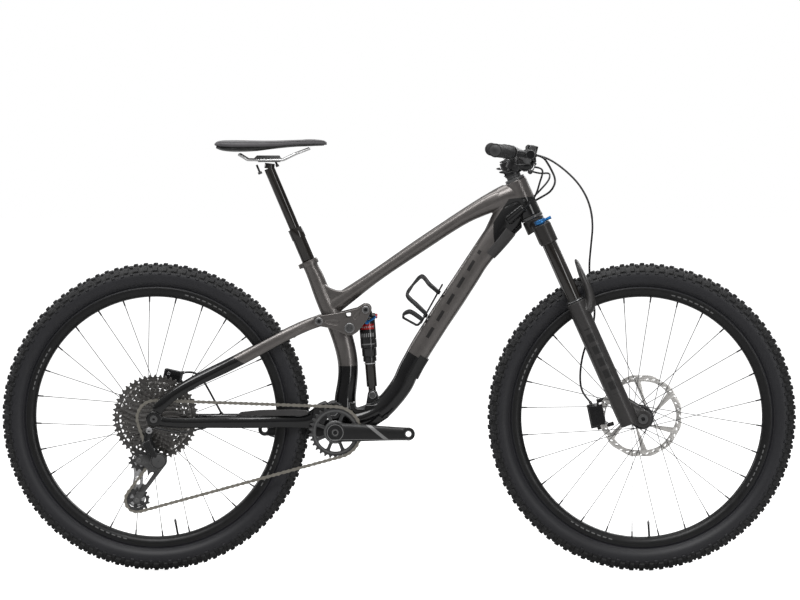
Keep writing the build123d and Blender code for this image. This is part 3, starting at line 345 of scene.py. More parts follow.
# ---- materials ------------------------------------------------------------------------------
class Look:
    """A procedural material that is worked out from places in the row frame."""

    def __init__(self, name, **constants):
        self.material = bpy.data.materials.new(name)
        self.material.use_nodes = True
        self.tree = self.material.node_tree
        self.shader = self.tree.nodes["Principled BSDF"]
        self.spot = self.tree.nodes.new("ShaderNodeTexCoord").outputs["Object"]
        for socket, value in constants.items():
            self.shader.inputs[socket.replace("_", " ")].default_value = value

    def node(self, kind, inputs=None, **settings):
        made = self.tree.nodes.new("ShaderNode" + kind)
        for name, value in settings.items():
            setattr(made, name, value)
        for key, value in (inputs or {}).items():
            self.plug(made.inputs[key], value)
        return made

    def plug(self, socket, value):
        if isinstance(value, bpy.types.NodeSocket):
            self.tree.links.new(value, socket)
        elif socket.type == "RGBA":
            socket.default_value = (*value, 1)
        else:
            socket.default_value = value

    def noise(self, scale, detail=3.0, stretch=None, rough=0.55):
        """Cloudy value; scale is in waves per metre."""
        spot = self.spot
        if stretch:
            spot = self.node("VectorMath", {0: spot, 1: stretch}, operation="MULTIPLY").outputs[0]
        made = self.node("TexNoise", {"Vector": spot, "Scale": scale, "Detail": detail, "Roughness": rough})
        return made.outputs["Fac"]

    def cells(self, scale, feature="F1"):
        return self.node("TexVoronoi", {"Vector": self.spot, "Scale": scale},
                         feature=feature).outputs["Distance"]

    def math(self, operation, a, b=0.0, c=0.0):
        made = self.node("Math", {0: a, 1: b}, operation=operation)
        self.plug(made.inputs[2], c)
        return made.outputs[0]

    def fit(self, value, low, high, to_low, to_high, soft=False):
        kind = "SMOOTHSTEP" if soft else "LINEAR"
        made = self.node("MapRange", {0: value, 1: low, 2: high, 3: to_low, 4: to_high},
                         interpolation_type=kind)
        return made.outputs[0]

    def mix(self, share, a, b):
        made = self.node("Mix", {0: share, 6: a, 7: b}, data_type="RGBA")
        return made.outputs[2]

    def axes(self):
        made = self.node("SeparateXYZ", {0: self.spot})
        return made.outputs[0], made.outputs[1], made.outputs[2]

    def beyond(self, point, way, width=0.8):
        """1 past a line in the side view and 0 before it; point in mm as (x, z)."""
        x, _, z = self.axes()
        length = math.hypot(*way)
        along = self.math("ADD", self.math("MULTIPLY", x, way[0] / length),
                          self.math("MULTIPLY", z, way[1] / length))
        start = (point[0] * way[0] + point[1] * way[1]) / length
        return self.fit(along, (start - width / 2) * MM, (start + width / 2) * MM, 0.0, 1.0)

    def both(self, *masks):
        found = masks[0]
        for mask in masks[1:]:
            found = self.math("MULTIPLY", found, mask)
        return found

    def either(self, *masks):
        found = masks[0]
        for mask in masks[1:]:
            found = self.math("MAXIMUM", found, mask)
        return found

    def radial(self, centre):
        """Radius in mm and turn in whole turns about a wheel's axle."""
        x, _, z = self.axes()
        across = self.math("SUBTRACT", x, centre.x * MM)
        above = self.math("SUBTRACT", z, centre.z * MM)
        reach = self.math("SQRT", self.math("ADD", self.math("MULTIPLY", across, across),
                                            self.math("MULTIPLY", above, above)))
        turn = self.math("ARCTAN2", above, across)
        return self.math("MULTIPLY", reach, 1 / MM), self.math("MULTIPLY", turn, 1 / (2 * math.pi))

    def wear(self, share=0.5):
        """Bright on sharp outer edges."""
        edge = self.node("NewGeometry").outputs["Pointiness"]
        return self.math("MULTIPLY", self.fit(edge, 0.505, 0.56, 0.0, 1.0), share)

    def done(self, colour, rough, relief=None, strength=0.1, distance=0.3):
        self.plug(self.shader.inputs["Base Color"], colour)
        self.plug(self.shader.inputs["Roughness"], rough)
        if relief is not None:
            bump = self.node("Bump", {"Strength": strength, "Distance": distance * MM, "Height": relief})
            self.tree.links.new(bump.outputs[0], self.shader.inputs["Normal"])
        return self.material


def shades(look, colour, spread_by, scale, fine=2200):
    """A colour with broad and fine variation, as two tones mixed by noise."""
    low = [c * (1 - spread_by) for c in colour]
    high = [c * (1 + spread_by) for c in colour]
    cloud = look.math("ADD", look.math("MULTIPLY", look.noise(scale), 0.6),
                      look.math("MULTIPLY", look.noise(fine, 1), 0.4))
    return look.mix(look.fit(cloud, 0.3, 0.7, 0.0, 1.0), low, high)


def simple(name, colour, rough, spread_by=0.2, scale=40, relief_scale=1500, strength=0.08, distance=0.1,
           stretch=None, edge=0.0, edge_colour=(0.3, 0.3, 0.3), swing=0.06, **constants):
    """Material with toned colour, uneven gloss, fine relief and worn edges."""
    look = Look(name, **constants)
    base = shades(look, colour, spread_by, scale)
    if edge:
        base = look.mix(look.wear(edge), base, edge_colour)
    gloss = look.fit(look.noise(scale * 2.3, 4), 0.3, 0.7, rough - swing, rough + swing)
    return look.done(base, gloss, look.noise(relief_scale, 2, stretch), strength, distance)


GREY = (0.185, 0.172, 0.165)
BLACK = (0.006, 0.006, 0.0065)


def paint(name, black_mask, stripe_mask=None):
    """Satin metallic grey with gloss black fields and dark marks."""
    look = Look(name, Coat_Roughness=0.06, Coat_IOR=1.5)
    mask = black_mask(look)
    flake = look.fit(look.noise(5200, 1), 0.35, 0.65, 0.0, 1.0)
    grey = look.mix(flake, [c * 0.86 for c in GREY], [c * 1.16 for c in GREY])
    grey = look.mix(look.fit(look.noise(14, 2), 0.35, 0.65, 0.0, 0.35), grey, [c * 0.8 for c in GREY])
    if stripe_mask:
        grey = look.mix(look.math("MULTIPLY", stripe_mask(look), 0.82), grey, (0.03, 0.03, 0.031))
    dust = look.fit(look.noise(600, 2), 0.35, 0.75, 0.0, 0.004)
    black = look.mix(dust, BLACK, (0.2, 0.2, 0.2))
    look.plug(look.shader.inputs["Metallic"], look.fit(mask, 0, 1, 0.85, 0.0))
    satin = look.fit(look.noise(55, 3), 0.3, 0.7, 0.3, 0.38)
    gloss = look.fit(look.noise(30, 3), 0.3, 0.7, 0.09, 0.15)
    rough = look.math("ADD", look.math("MULTIPLY", satin, look.math("SUBTRACT", 1.0, mask)),
                      look.math("MULTIPLY", gloss, mask))
    look.shader.inputs["Coat Weight"].default_value = 0.25
    return look.done(look.mix(mask, grey, black), rough, look.noise(260, 2), 0.03, 0.2)


def main_black(look):
    """Gloss black on the head tube and low on the seat and down tubes."""
    head = look.both(look.beyond((227, 808), (1, 0)), look.beyond((227, 808), (0.66, 0.1)),
                     look.beyond((247, 870), (0.84, -0.55)), look.beyond((281, 898), (0.1, -1)))
    seat = look.both(look.beyond((-100, 495), (0, -1)), look.beyond((10, 480), (-1, 0.1)))
    down = look.both(look.beyond((40, 520), (-0.52, -0.85)), look.beyond((-60, 400), (1, -0.45)))
    low = look.beyond((0, 420), (0, -1))
    return look.either(head, seat, down, low)


def down_stripes(look):
    """Plain dark dashes in a row along the down tube."""
    x, _, z = look.axes()
    along = look.math("ADD", look.math("MULTIPLY", x, 0.52 / MM), look.math("MULTIPLY", z, 0.854 / MM))
    slant = look.math("SUBTRACT", look.math("MULTIPLY", x, 0.854 / MM), look.math("MULTIPLY", z, 0.52 / MM))
    phase = look.math("FRACT", look.math("MULTIPLY", along, 1 / 47.0))
    dashes = look.math("LESS_THAN", phase, 0.6)
    row = look.both(look.math("GREATER_THAN", slant, -239), look.math("LESS_THAN", slant, -231))
    return look.both(dashes, row, look.beyond((60, 560), (0.52, 0.85)),
                     look.beyond((200, 770), (-0.52, -0.85)))


def stay_black(look):
    """Black on the rear part of the seatstays, split along a diagonal."""
    return look.beyond((-374, 505), (-0.5, -0.87))


looks = {
    "frame": paint("frame_paint", main_black, down_stripes),
    "stay": paint("seatstay_paint", stay_black),
    "grey": paint("rocker_paint", lambda look: look.beyond((2000, 0), (1, 0))),
    "gloss": paint("chainstay_paint", lambda look: look.beyond((2000, 0), (-1, 0))),
    "anodised": simple("black_anodised", (0.022, 0.022, 0.024), 0.38, 0.25, 60, 2600, 0.06, edge=0.35,
                       Metallic=0.35),
    "machined": simple("machined_black", (0.012, 0.012, 0.013), 0.24, 0.2, 70, 3200, 0.05, edge=0.5,
                       Metallic=0.25),
    "stanchion": simple("coated_stanchion", (0.011, 0.0085, 0.0065), 0.13, 0.25, 25, 900, 0.02, swing=0.03,
                        Coat_Weight=0.6, Coat_Roughness=0.04),
    "steel": simple("polished_steel", (0.55, 0.55, 0.56), 0.28, 0.08, 90, 2400, 0.05, Metallic=1.0),
    "silver": simple("silver_rail", (0.72, 0.72, 0.72), 0.3, 0.06, 90, 2400, 0.04, Metallic=0.9),
    "rotor": simple("ground_rotor", (0.85, 0.83, 0.8), 0.36, 0.08, 60, 1800, 0.08, stretch=(1, 1, 8),
                    Metallic=1.0),
    "chain": simple("oiled_chain", (0.11, 0.1, 0.088), 0.36, 0.45, 160, 1500, 0.1, edge=0.5,
                    edge_colour=(0.6, 0.57, 0.5), Metallic=0.85),
    "cassette": simple("dark_sprockets", (0.05, 0.046, 0.043), 0.34, 0.25, 90, 1800, 0.08, edge=0.5,
                       edge_colour=(0.42, 0.41, 0.4), Metallic=0.85),
    "ring": simple("anodised_ring", (0.035, 0.035, 0.036), 0.35, 0.25, 90, 1800, 0.08, edge=0.5,
                   edge_colour=(0.3, 0.3, 0.3), Metallic=0.7),
    "plastic": simple("moulded_plastic", (0.017, 0.017, 0.018), 0.44, 0.2, 50, 2600, 0.18, edge=0.2),
    "hose": simple("hose_sleeve", (0.014, 0.014, 0.015), 0.36, 0.2, 30, 3000, 0.1),
    "rubber": simple("grip_rubber", (0.02, 0.02, 0.021), 0.62, 0.25, 60, 2600, 0.35, 0.15),
    "guard": simple("guard_rubber", (0.045, 0.043, 0.043), 0.45, 0.15, 40, 2200, 0.15),
    "shell": simple("saddle_shell", (0.018, 0.018, 0.018), 0.4, 0.2, 40, 2400, 0.12),
    "hub": simple("hub_black", (0.012, 0.012, 0.013), 0.26, 0.2, 60, 3000, 0.04, edge=0.45, Metallic=0.35),
    "spoke": simple("steel_spoke", (0.03, 0.03, 0.032), 0.36, 0.15, 80, 2500, 0.03, Metallic=0.4),
    "seal": simple("wiper_seal", (0.012, 0.012, 0.012), 0.48, 0.2, 60, 2000, 0.1),
    "blue": simple("blue_anodised", (0.006, 0.16, 0.48), 0.28, 0.15, 70, 2600, 0.04, edge=0.3,
                   edge_colour=(0.2, 0.5, 0.9), Metallic=0.7),
    "red": simple("red_band", (0.5, 0.012, 0.015), 0.3, 0.12, 70, 2600, 0.03),
    "pale": simple("pale_mark", (0.5, 0.5, 0.5), 0.45, 0.12, 90, 2200, 0.04),
    "leg": simple("fork_leg_paint", (0.034, 0.031, 0.03), 0.4, 0.14, 20, 2400, 0.05, edge=0.2, Metallic=0.3,
                  Coat_Weight=0.15),
}


# ---- camera and light -----------------------------------------------------------------------
def look_from(place_at, aim, lens):
    camera = bpy.data.objects.new("camera", bpy.data.cameras.new("camera"))
    bpy.context.scene.collection.objects.link(camera)
    camera.location = place_at
    camera.rotation_euler = (Vector(aim) - Vector(place_at)).to_track_quat("-Z", "Y").to_euler()
    camera.data.lens = lens
    camera.data.sensor_width = 36
    camera.data.clip_end = 200
    bpy.context.scene.camera = camera


def softbox(name, place_at, aim, size, power):
    lamp = bpy.data.objects.new(name, bpy.data.lights.new(name, "AREA"))
    lamp.data.shape = "RECTANGLE"
    lamp.data.size, lamp.data.size_y = size
    lamp.data.energy = power
    lamp.location = place_at
    lamp.rotation_euler = (Vector(aim) - Vector(place_at)).to_track_quat("-Z", "Y").to_euler()
    bpy.context.scene.collection.objects.link(lamp)
    return lamp


def studio_air():
    """White behind the object, and a soft vertical falloff for what it reflects."""
    world = bpy.data.worlds.new("studio")
    world.use_nodes = True
    bpy.context.scene.world = world
    tree = world.node_tree
    tree.nodes.clear()
    way = tree.nodes.new("ShaderNodeTexCoord")
    split = tree.nodes.new("ShaderNodeSeparateXYZ")
    fall = tree.nodes.new("ShaderNodeMapRange")
    fall.inputs[1].default_value, fall.inputs[2].default_value = -0.1, 0.9
    fall.inputs[3].default_value, fall.inputs[4].default_value = 0.07, 0.75
    dim = tree.nodes.new("ShaderNodeBackground")
    white = tree.nodes.new("ShaderNodeBackground")
    white.inputs["Color"].default_value = (1, 1, 1, 1)
    white.inputs["Strength"].default_value = 1.0
    seen = tree.nodes.new("ShaderNodeLightPath")
    blend = tree.nodes.new("ShaderNodeMixShader")
    out = tree.nodes.new("ShaderNodeOutputWorld")
    tree.links.new(way.outputs["Generated"], split.inputs[0])
    tree.links.new(split.outputs[2], fall.inputs[0])
    tree.links.new(fall.outputs[0], dim.inputs["Strength"])
    tree.links.new(seen.outputs["Is Camera Ray"], blend.inputs[0])
    tree.links.new(dim.outputs[0], blend.inputs[1])
    tree.links.new(white.outputs[0], blend.inputs[2])
    tree.links.new(blend.outputs[0], out.inputs[0])


def studio_floor():
    disc = [(40000 * math.cos(k * math.pi / 48), 40000 * math.sin(k * math.pi / 48), 0) for k in range(96)]
    floor = object_of("studio_floor", disc, [tuple(range(96))])
    look = Look("floor_paint", Emission_Color=(1, 1, 1, 1))
    tone = look.fit(look.noise(1.3, 3), 0.3, 0.7, 0.0, 1.0)
    seen = look.node("LightPath").outputs["Is Camera Ray"]
    look.plug(look.shader.inputs["Emission Strength"], look.fit(seen, 0, 1, 0.02, 0.95))
    floor.data.materials.append(look.done(look.mix(tone, (0.38, 0.38, 0.38), (0.42, 0.42, 0.42)), 0.8))


look_from((0.10, -9.5, 1.05), (0.0029, 0, 0.6528), 178.0)
studio_air()
studio_floor()
softbox("key", (-1.2, -4.5, 5.2), (0, 0, 0.5), (3.5, 2.0), 150)
softbox("overhead", (0, 0.4, 5.0), (0, 0, 0.5), (5.0, 2.5), 120)
softbox("front_fill", (3.6, -5.0, 1.8), (0, 0, 0.6), (1.2, 3.0), 45)
softbox("rear_fill", (-4.6, 2.6, 2.6), (0, 0, 0.6), (1.2, 3.0), 55)
softbox("far_side", (2.6, 4.6, 3.2), (0, 0, 0.6), (3.0, 2.0), 80)
bpy.context.scene.view_settings.view_transform = "Standard"


# ---- hoses and housings ---------------------------------------------------------------------
def route_spline(name, route, radius=0.0):
    """Smooth open curve with the route's points as its control points."""
    curve = bpy.data.curves.new(name, "CURVE")
    curve.dimensions = "3D"
    curve.resolution_u = 10
    curve.bevel_depth = radius * MM
    curve.bevel_resolution = 6
    curve.use_fill_caps = True
    spline = curve.splines.new("NURBS")
    spline.points.add(len(route) - 1)
    for spot, point in zip(spline.points, route):
        spot.co = (*[c * MM for c in point], 1)
    spline.order_u = 3
    spline.use_endpoint_u = True
    piece = bpy.data.objects.new(name, curve)
    bpy.context.scene.collection.objects.link(piece)
    return piece


def line_of(route):
    """Points, in metres, along the smooth line of a route."""
    holder = route_spline("route", route)
    bpy.context.view_layer.update()
    mesh = bpy.data.meshes.new_from_object(holder)
    points = [v.co.copy() for v in mesh.vertices]
    bpy.data.objects.remove(holder)
    return points


def hose_mesh(name, points, radius, count=16):
    """Round tube along points in metres, with rings that don't twist."""
    rings = []
    first = None
    for i, point in enumerate(points):
        way = (points[min(i + 1, len(points) - 1)] - points[max(i - 1, 0)]).normalized()
        if first is None:
            first = across_of(way)[0]
        first = (first - way * first.dot(way)).normalized()
        second = way.cross(first)
        rings.append([point / MM + first * radius * math.cos(2 * math.pi * k / count)
                      + second * radius * math.sin(2 * math.pi * k / count) for k in range(count)])
    return object_of(name, *skin(rings), 60)


HOSE_R = 2.5
HOUSING_R = 2.25
ROUTES = {
    "front_brake_hose": (HOSE_R, 0.695, [
        (327.4, 180, 1001), (344, 176.4, 998.5), (372, 165, 987), (405, 152, 963), (438, 137, 930),
        (462, 121, 886), (471, 109, 834), (465, 101, 778), (460, 98, 722), (468, 98, 666), (477, 99, 614),
        (464, 98, 566), (446, 96, 520), (439, 93, 474), (440, 86, 438), (450, 75, 417),
                                         (461.5, 64.6, 404.8)]),
    "rear_brake_hose": (HOSE_R, 0.300, [
        (327.4, -180, 1001), (342, -176.8, 998), (354, -160, 981), (365, -128, 962), (372, -88, 948),
        (374, -46, 933), (365, -8, 914), (347, 20, 902), (323.2, 31, 888.8), (303, 29.6, 871.8)]),
    "dropper_housing": (HOUSING_R, 0.237, [
        (312.2, 173.9, 963.9), (328, 166.8, 958.4), (347, 148, 955), (360, 118, 957), (366, 86, 954),
        (362, 56, 940), (344, 38, 920), (319.2, 32, 894.8), (298.4, 29.6, 877.4)]),
    "shift_housing": (HOUSING_R, 0.205, [
        (318.2, -175.9, 974), (333, -170.3, 972.6), (342, -148, 966), (341, -116, 953), (336, -84, 936),
        (331, -55, 914), (319.8, -35, 890.6), (300.7, -29.6, 874.6)]),
    "rear_brake_tail": (HOSE_R, 0.142, [
        (-519.3, 66, 474.1), (-504, 68, 475.8), (-488, 74, 469), (-474, 76, 452), (-462, 76, 431),
        (-451, 74, 411), (-441, 68, 394), (-432, 62, 378)]),
    "shift_tail": (HOUSING_R, 0.113, [
        (-474, -69, 347.5), (-494, -75, 342.5), (-516, -83, 340), (-540, -92, 342), (-562, -98, 348),
        (-581, -97, 352)]),
}
STANDS_FOR = {
    "front_brake_hose": ["front_brake_hose"],
    "rear_brake_hose": ["cockpit_hoses"],
    "dropper_housing": ["cockpit_hoses"],
    "shift_housing": ["cockpit_hoses"],
    "rear_brake_tail": ["tail_hoses"],
    "shift_tail": ["tail_hoses"],
}
BETWEEN = {
    "front_brake_hose": ("steering", "fork_lower_legs"),
    "rear_brake_hose": ("steering", "frame"),
    "dropper_housing": ("steering", "frame"),
    "shift_housing": ("steering", "frame"),
    "rear_brake_tail": ("seatstays", "swingarm"),
}


def hose(name):
    radius, length, route = ROUTES[name]
    start, end = Vector(route[0]) * MM, Vector(route[-1]) * MM
    points = line_of(route)
    piece = hose_mesh(name, points, radius)
    piece.data.materials.append(looks["hose"])
    if name in BETWEEN:
        first, last = BETWEEN[name]
        if name == "front_brake_hose":
            start, end = Vector(route[7]) * MM, Vector(route[12]) * MM
        tuple(start)
        tuple(end)
        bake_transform(piece)
    else:
        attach(piece, "swingarm")
    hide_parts(*STANDS_FOR[name])
    tuple(points[0])
    [tuple(p) for p in points]


for hose_name in ROUTES:
    hose(hose_name)


# ---- wheels ---------------------------------------------------------------------------------
CASING_MID = 339.0
CASING_HIGH = 27.5
CASING_HALF = 29.0
TREAD_PITCHES = 96
SPOKES = 28
WHEELS = {
    "front": (FRONT, "front_wheel", (-27.0, 27.0), 8.5),
    "rear": (REAR, "rear_wheel", (-21.0, 33.0), 3.0),
}


def around(centre, radius, y, turn):
    """Point on a wheel from its radius, its side and its turn."""
    return Vector((centre.x + radius * math.cos(turn), y, centre.z + radius * math.sin(turn)))


def casing_ring():
    """Closed section of the tyre's casing as (radius, side)."""
    found = []
    for k in range(-18, 19):
        turn = math.radians(k * 8.4)
        found.append((CASING_MID + CASING_HIGH * math.cos(turn), CASING_HALF * math.sin(turn)))
    found += [(312.6, 16.2), (311.2, 16.8), (306.5, 14.6), (305.5, 11), (312, 9.5)]
    found += [(312, -9.5), (305.5, -11), (306.5, -14.6), (311.2, -16.8), (312.6, -16.2)]
    return found


def knob(verts, faces, centre, turn, lean, along, around_size, height, slope=0.8, skew=0.0):
    """Tapered rubber block that stands on the casing at a lean from its crown."""
    wheel_out = Vector((math.cos(turn), 0, math.sin(turn)))
    wheel_on = Vector((-math.sin(turn), 0, math.cos(turn)))
    out = wheel_out * math.cos(lean) + LEFT * math.sin(lean)
    side = LEFT * math.cos(lean) - wheel_out * math.sin(lean)
    foot = around(centre, CASING_MID + CASING_HIGH * math.cos(lean), CASING_HALF * math.sin(lean), turn)
    first = len(verts)
    for lift, share in ((-1.5, 1.0), (height - 0.9, 0.5 + slope / 2), (height, slope)):
        for a, b in ((-1, -1), (1, -1), (1, 1), (-1, 1)):
            reach = side * (a * along / 2 * share) + wheel_on * ((b * around_size / 2 + a * skew) * share)
            verts.append(foot + out * lift + reach)
    for level in (0, 4):
        for k in range(4):
            m = (k + 1) % 4
            faces.append((first + level + k, first + level + m, first + level + 4 + m,
                          first + level + 4 + k))
    faces.append(tuple(first + 8 + k for k in range(4)))


def tyre(label):
    centre, body, _, _ = WHEELS[label]
    casing = lathe(f"{label}_casing", casing_ring(), centre, LEFT, 216, smooth=60, closed=True)
    verts, faces = [], []
    pitch = 2 * math.pi / TREAD_PITCHES
    for k in range(TREAD_PITCHES):
        here = k * pitch
        even = k % 2 == 0
        for side in (-1, 1):
            knob(verts, faces, centre, here, side * 0.17, 8.5, 9.5, 4.5, 0.78, 1.2 * side)
            if even:
                knob(verts, faces, centre, here + pitch / 2, side * 0.52, 9, 8.5, 3.8, 0.76, -1.5 * side)
            else:
                knob(verts, faces, centre, here + pitch / 2, side * 0.42, 6.5, 6.5, 3.4, 0.76)
            tall = 4.9 if even else 4.3
            knob(verts, faces, centre, here, side * 0.95, 12, 12.5 if even else 10, tall, 0.78, 0.8 * side)
            knob(verts, faces, centre, here + pitch / 2, side * 1.22, 7.5 if even else 10, 8.5, 3.2, 0.7)
    tread = object_of(f"{label}_tread", verts, faces, 25)
    piece = join(f"{label}_tyre_skin", [casing, tread])
    place(piece, body, tyre_look(label, centre), "tyre_rubber", f"{label}_tyre")


def tyre_look(label, centre):
    """Matt tread, a smoother grey-blue sidewall with fine ribs, a painted highlight line along the bead
    ridge, and dust.
    """
    look = Look(f"{label}_tyre_rubber", Sheen_Weight=0.05)
    reach, turn = look.radial(centre)
    wall = look.fit(reach, 346, 351, 1.0, 0.0, True)
    tread = shades(look, (0.011, 0.011, 0.012), 0.3, 60, 1500)
    side = shades(look, (0.0155, 0.0155, 0.019), 0.16, 12, 900)
    # Lighter ring at radius 317 to 319 mm: a painted highlight along the bead ridge, which has no geometry
    # of its own.
    band = look.both(look.fit(reach, 317, 317.4, 0.0, 1.0), look.fit(reach, 318.4, 318.8, 1.0, 0.0))
    side = look.mix(look.math("MULTIPLY", band, 0.4), side, (0.05, 0.05, 0.055))
    rough = look.fit(wall, 0, 1, 0.62, 0.47)
    rings = look.math("SINE", look.math("MULTIPLY", reach, 4.2))
    cords = look.math("SINE", look.math("MULTIPLY",
                                        look.math("ADD", turn, look.math("MULTIPLY", reach, 0.0004)),
                                        5200.0))
    ribs = look.math("MULTIPLY", look.math("ADD", rings, look.math("MULTIPLY", cords, 0.35)), wall)
    relief = look.math("ADD", look.math("MULTIPLY", ribs, 0.25), look.noise(1600, 2))
    return look.done(look.mix(wall, tread, side), rough, relief, 0.18, 0.25)


def rim_look(label, centre):
    """Anodised black with plain pale dashes in a few arcs of its side."""
    look = Look(f"{label}_rim_black", Metallic=0.3)
    reach, turn = look.radial(centre)
    base = shades(look, (0.010, 0.010, 0.0105), 0.2, 40, 2200)
    dashes = look.math("LESS_THAN", look.math("FRACT", look.math("MULTIPLY", turn, 130)), 0.62)
    gaps = look.math("LESS_THAN", look.math("FRACT",
                                            look.math("ADD", look.math("MULTIPLY", turn, 4), 0.38)), 0.24)
    band = look.both(look.fit(reach, 300.6, 300.9, 0.0, 1.0), look.fit(reach, 303.2, 303.5, 1.0, 0.0))
    marks = look.math("MULTIPLY", look.both(dashes, gaps, band), 0.5)
    rough = look.fit(look.noise(90, 3), 0.3, 0.7, 0.3, 0.42)
    return look.done(look.mix(marks, base, (0.35, 0.35, 0.35)), rough, look.noise(2600, 2), 0.05, 0.1)


def rim(label):
    centre, body, _, _ = WHEELS[label]
    half = [(288.9, 0), (289.4, 6), (291.5, 10.5), (296.5, 14.8), (302, 16.6), (310, 17.4), (311.2, 16.9),
            (311.2, 15.4), (309.8, 14.9), (304.5, 14.3), (303.4, 12.5), (303.8, 8), (301.5, 5), (301.2, 0)]
    profile = half + [(radius, -y) for radius, y in reversed(half[1:-1])]
    hoop = lathe(f"{label}_rim_hoop", profile, centre, LEFT, 180, smooth=32, closed=True)
    stem_at = math.radians(3.8 + (0 if label == "front" else 6.4) + 270)
    out = -around(Vector(), 1, 0, stem_at)
    foot = around(centre, 290.5, 0, stem_at)
    valve = lathe(f"{label}_valve", [(3.2, -2), (3.4, 0), (3.4, 2.2), (2.6, 2.4), (2.6, 30), (2.9, 30.4),
                                     (2.9, 37),
                                     (2.2, 38), (1.2, 38.4), (1.2, 41)], foot, out, 20)
    place(hoop, body, rim_look(label, centre), "rim_black", f"{label}_rim")
    place(valve, body, looks["machined"], "hub_black")


def spokes(label):
    """Laced spokes with elbows through the flanges and brass-length nipples in the rim."""
    centre, body, flanges, phase = WHEELS[label]
    found = []
    for k in range(SPOKES):
        side = 1 if k % 2 else -1
        trail = 1 if (k // 2) % 2 else -1
        at_rim = math.radians(phase + k * 360 / SPOKES)
        at_hub = at_rim + math.radians(trail * 77)
        hub_y = flanges[k % 2] + side * trail * 1.9
        start = around(centre, 24.5, hub_y, at_hub)
        end = around(centre, 295, side * 3, at_rim)
        way = (end - start).normalized()
        length = (end - start).length
        found.append(lathe("spoke", [(1.0, -1.2), (1.0, 24), (0.78, 34), (0.78, length - 45),
                                     (1.0, length - 35),
                                     (1.0, length - 18)], start, way, 10))
        found.append(lathe("nipple", [(1.0, length - 19), (1.8, length - 18.2), (1.95, length - 8),
                                      (2.4, length - 5),
                                      (2.4, length)], start, way, 10))
        head = start - LEFT * side * trail * 3.8
        found.append(lathe("elbow", [(1.0, 0), (1.0, 4.2)], head, start - head, 10))
        found.append(lathe("head", [(0.6, -0.9), (1.9, -0.5), (1.9, 0.1), (1.0, 0.4)], head, start - head,
                           10))
    place(join(f"{label}_spoke_set", found), body, looks["spoke"], "spoke_black", f"{label}_spokes")


def hub(label, cap, flanges, drive_y, disc_y):
    """Hub shell with flanges, a waist, a six-bolt disc mount and end caps, round an open bore."""
    centre, body, _, _ = WHEELS[label]
    low, high, bore = cap
    left, right = flanges
    profile = [(bore, low), (10.5, low), (11, low + 0.6), (11, drive_y[0]), (19.4, drive_y[0]),
               (20, drive_y[0] + 0.7),
               (20, drive_y[1]), (15, drive_y[1] + 1.5), (14.5, left - 6), (22, left - 2.5),
               (27.4, left - 1.9),
               (28, left - 1.3), (28, left + 1.3), (27.4, left + 1.9), (21.5, left + 2.5), (14, left + 9),
               (12.6, (left + right) / 2), (14, right - 9), (21.5, right - 2.5), (27.4, right - 1.9),
               (28, right - 1.3),
               (28, right + 1.3), (27.4, right + 1.9), (23, right + 2.5), (21, right + 4), (21, disc_y),
               (14, disc_y + 0.2),
               (11, disc_y + 3), (10.8, high), (bore, high)]
    shell = lathe(f"{label}_hub_shell", profile, centre, LEFT, 60, smooth=28, closed=True)
    place(shell, body, looks["hub"], "hub_black", f"{label}_hub")


for wheel_label in WHEELS:
    tyre(wheel_label)
    rim(wheel_label)
    spokes(wheel_label)
hub("front", (-54.9, 54.9, 7.7), (-27, 27), (-52, -42), 38.9)


def rotor(label, y, outer):
    """Brake disc: a wavy slotted band, swept arms and a six-bolt carrier."""
    centre, body, _, _ = WHEELS[label]
    edge = [(centre.x + (outer - 0.9 - 1.1 * math.cos(12 * t)) * math.cos(t),
             centre.z + (outer - 0.9 - 1.1 * math.cos(12 * t)) * math.sin(t))
            for t in (2 * math.pi * k / 144 for k in range(144))]
    holes = []
    inner = outer - 15.5
    for k in range(6):
        first, last = k * math.pi / 3 + 0.09, (k + 1) * math.pi / 3 - 0.09
        sweep = 0.62
        window = []
        for s in range(13):
            turn = first + sweep + (last - first) * s / 12
            window.append(tuple(around(centre, inner + 1.2 * math.cos(6 * turn), 0, turn).xz))
        for s in range(7):
            turn = last - (last - first) * s / 6
            window.append(tuple(around(centre, 27.5, 0, turn + 0.1).xz))
        holes.append(rounded(window, 3, 2))
        bolt_at = tuple(around(centre, 22, 0, k * math.pi / 3).xz)
        holes.append(ring_outline(bolt_at, 2.6, 12))
    for k in range(36):
        turn = k * math.pi / 18
        radius = outer - 5.2 if k % 3 == 0 else outer - 7.6 if k % 3 == 1 else outer - 10.2
        spot = around(centre, radius, 0, turn)
        along = Vector((-math.sin(turn + 0.5), 0, math.cos(turn + 0.5)))
        aside = Vector((math.cos(turn + 0.5), 0, math.sin(turn + 0.5)))
        slot_shape = [spot + along * a + aside * b for a,
                      b in ((-3.2, -1.3), (3.2, -1.3), (3.2, 1.3), (-3.2, 1.3))]
        holes.append(rounded([tuple(p.xz) for p in slot_shape], 1.2, 3))
    holes.append(ring_outline((centre.x, centre.z), 17.5, 48))
    disc = plate(f"{label}_disc", edge, holes, y, 1.8, 0.25)
    place(disc, body, looks["rotor"], "rotor_steel", f"{label}_rotor")
    heads = [bolt(around(centre, 22, y + 0.9, k * math.pi / 3), LEFT, 3.6, 2.2, 0.5) for k in range(6)]
    place(join(f"{label}_disc_bolts", heads), body, looks["steel"], "polished_steel")


rotor("front", 40.0, 100.0)
rotor("rear", 57.0, 90.0)


# ---- sprockets, chain and cranks ------------------------------------------------------------
CHAIN_PITCH = 12.7
CHAIN_Y = -52.0
TEETH = (50, 42, 36, 32, 28, 24, 21, 18, 16, 14, 12, 10)
DRIVEN = 6
SPACING = 3.5
TENSION = Vector((-626.9, 0, 174.8))
GUIDE = Vector((-621.2, 0, 270.2))
CAGE_PIVOT = Vector((-572.2, 0, 271.5))


def pitch_radius(teeth):
    return CHAIN_PITCH / 2 / math.sin(math.pi / teeth)


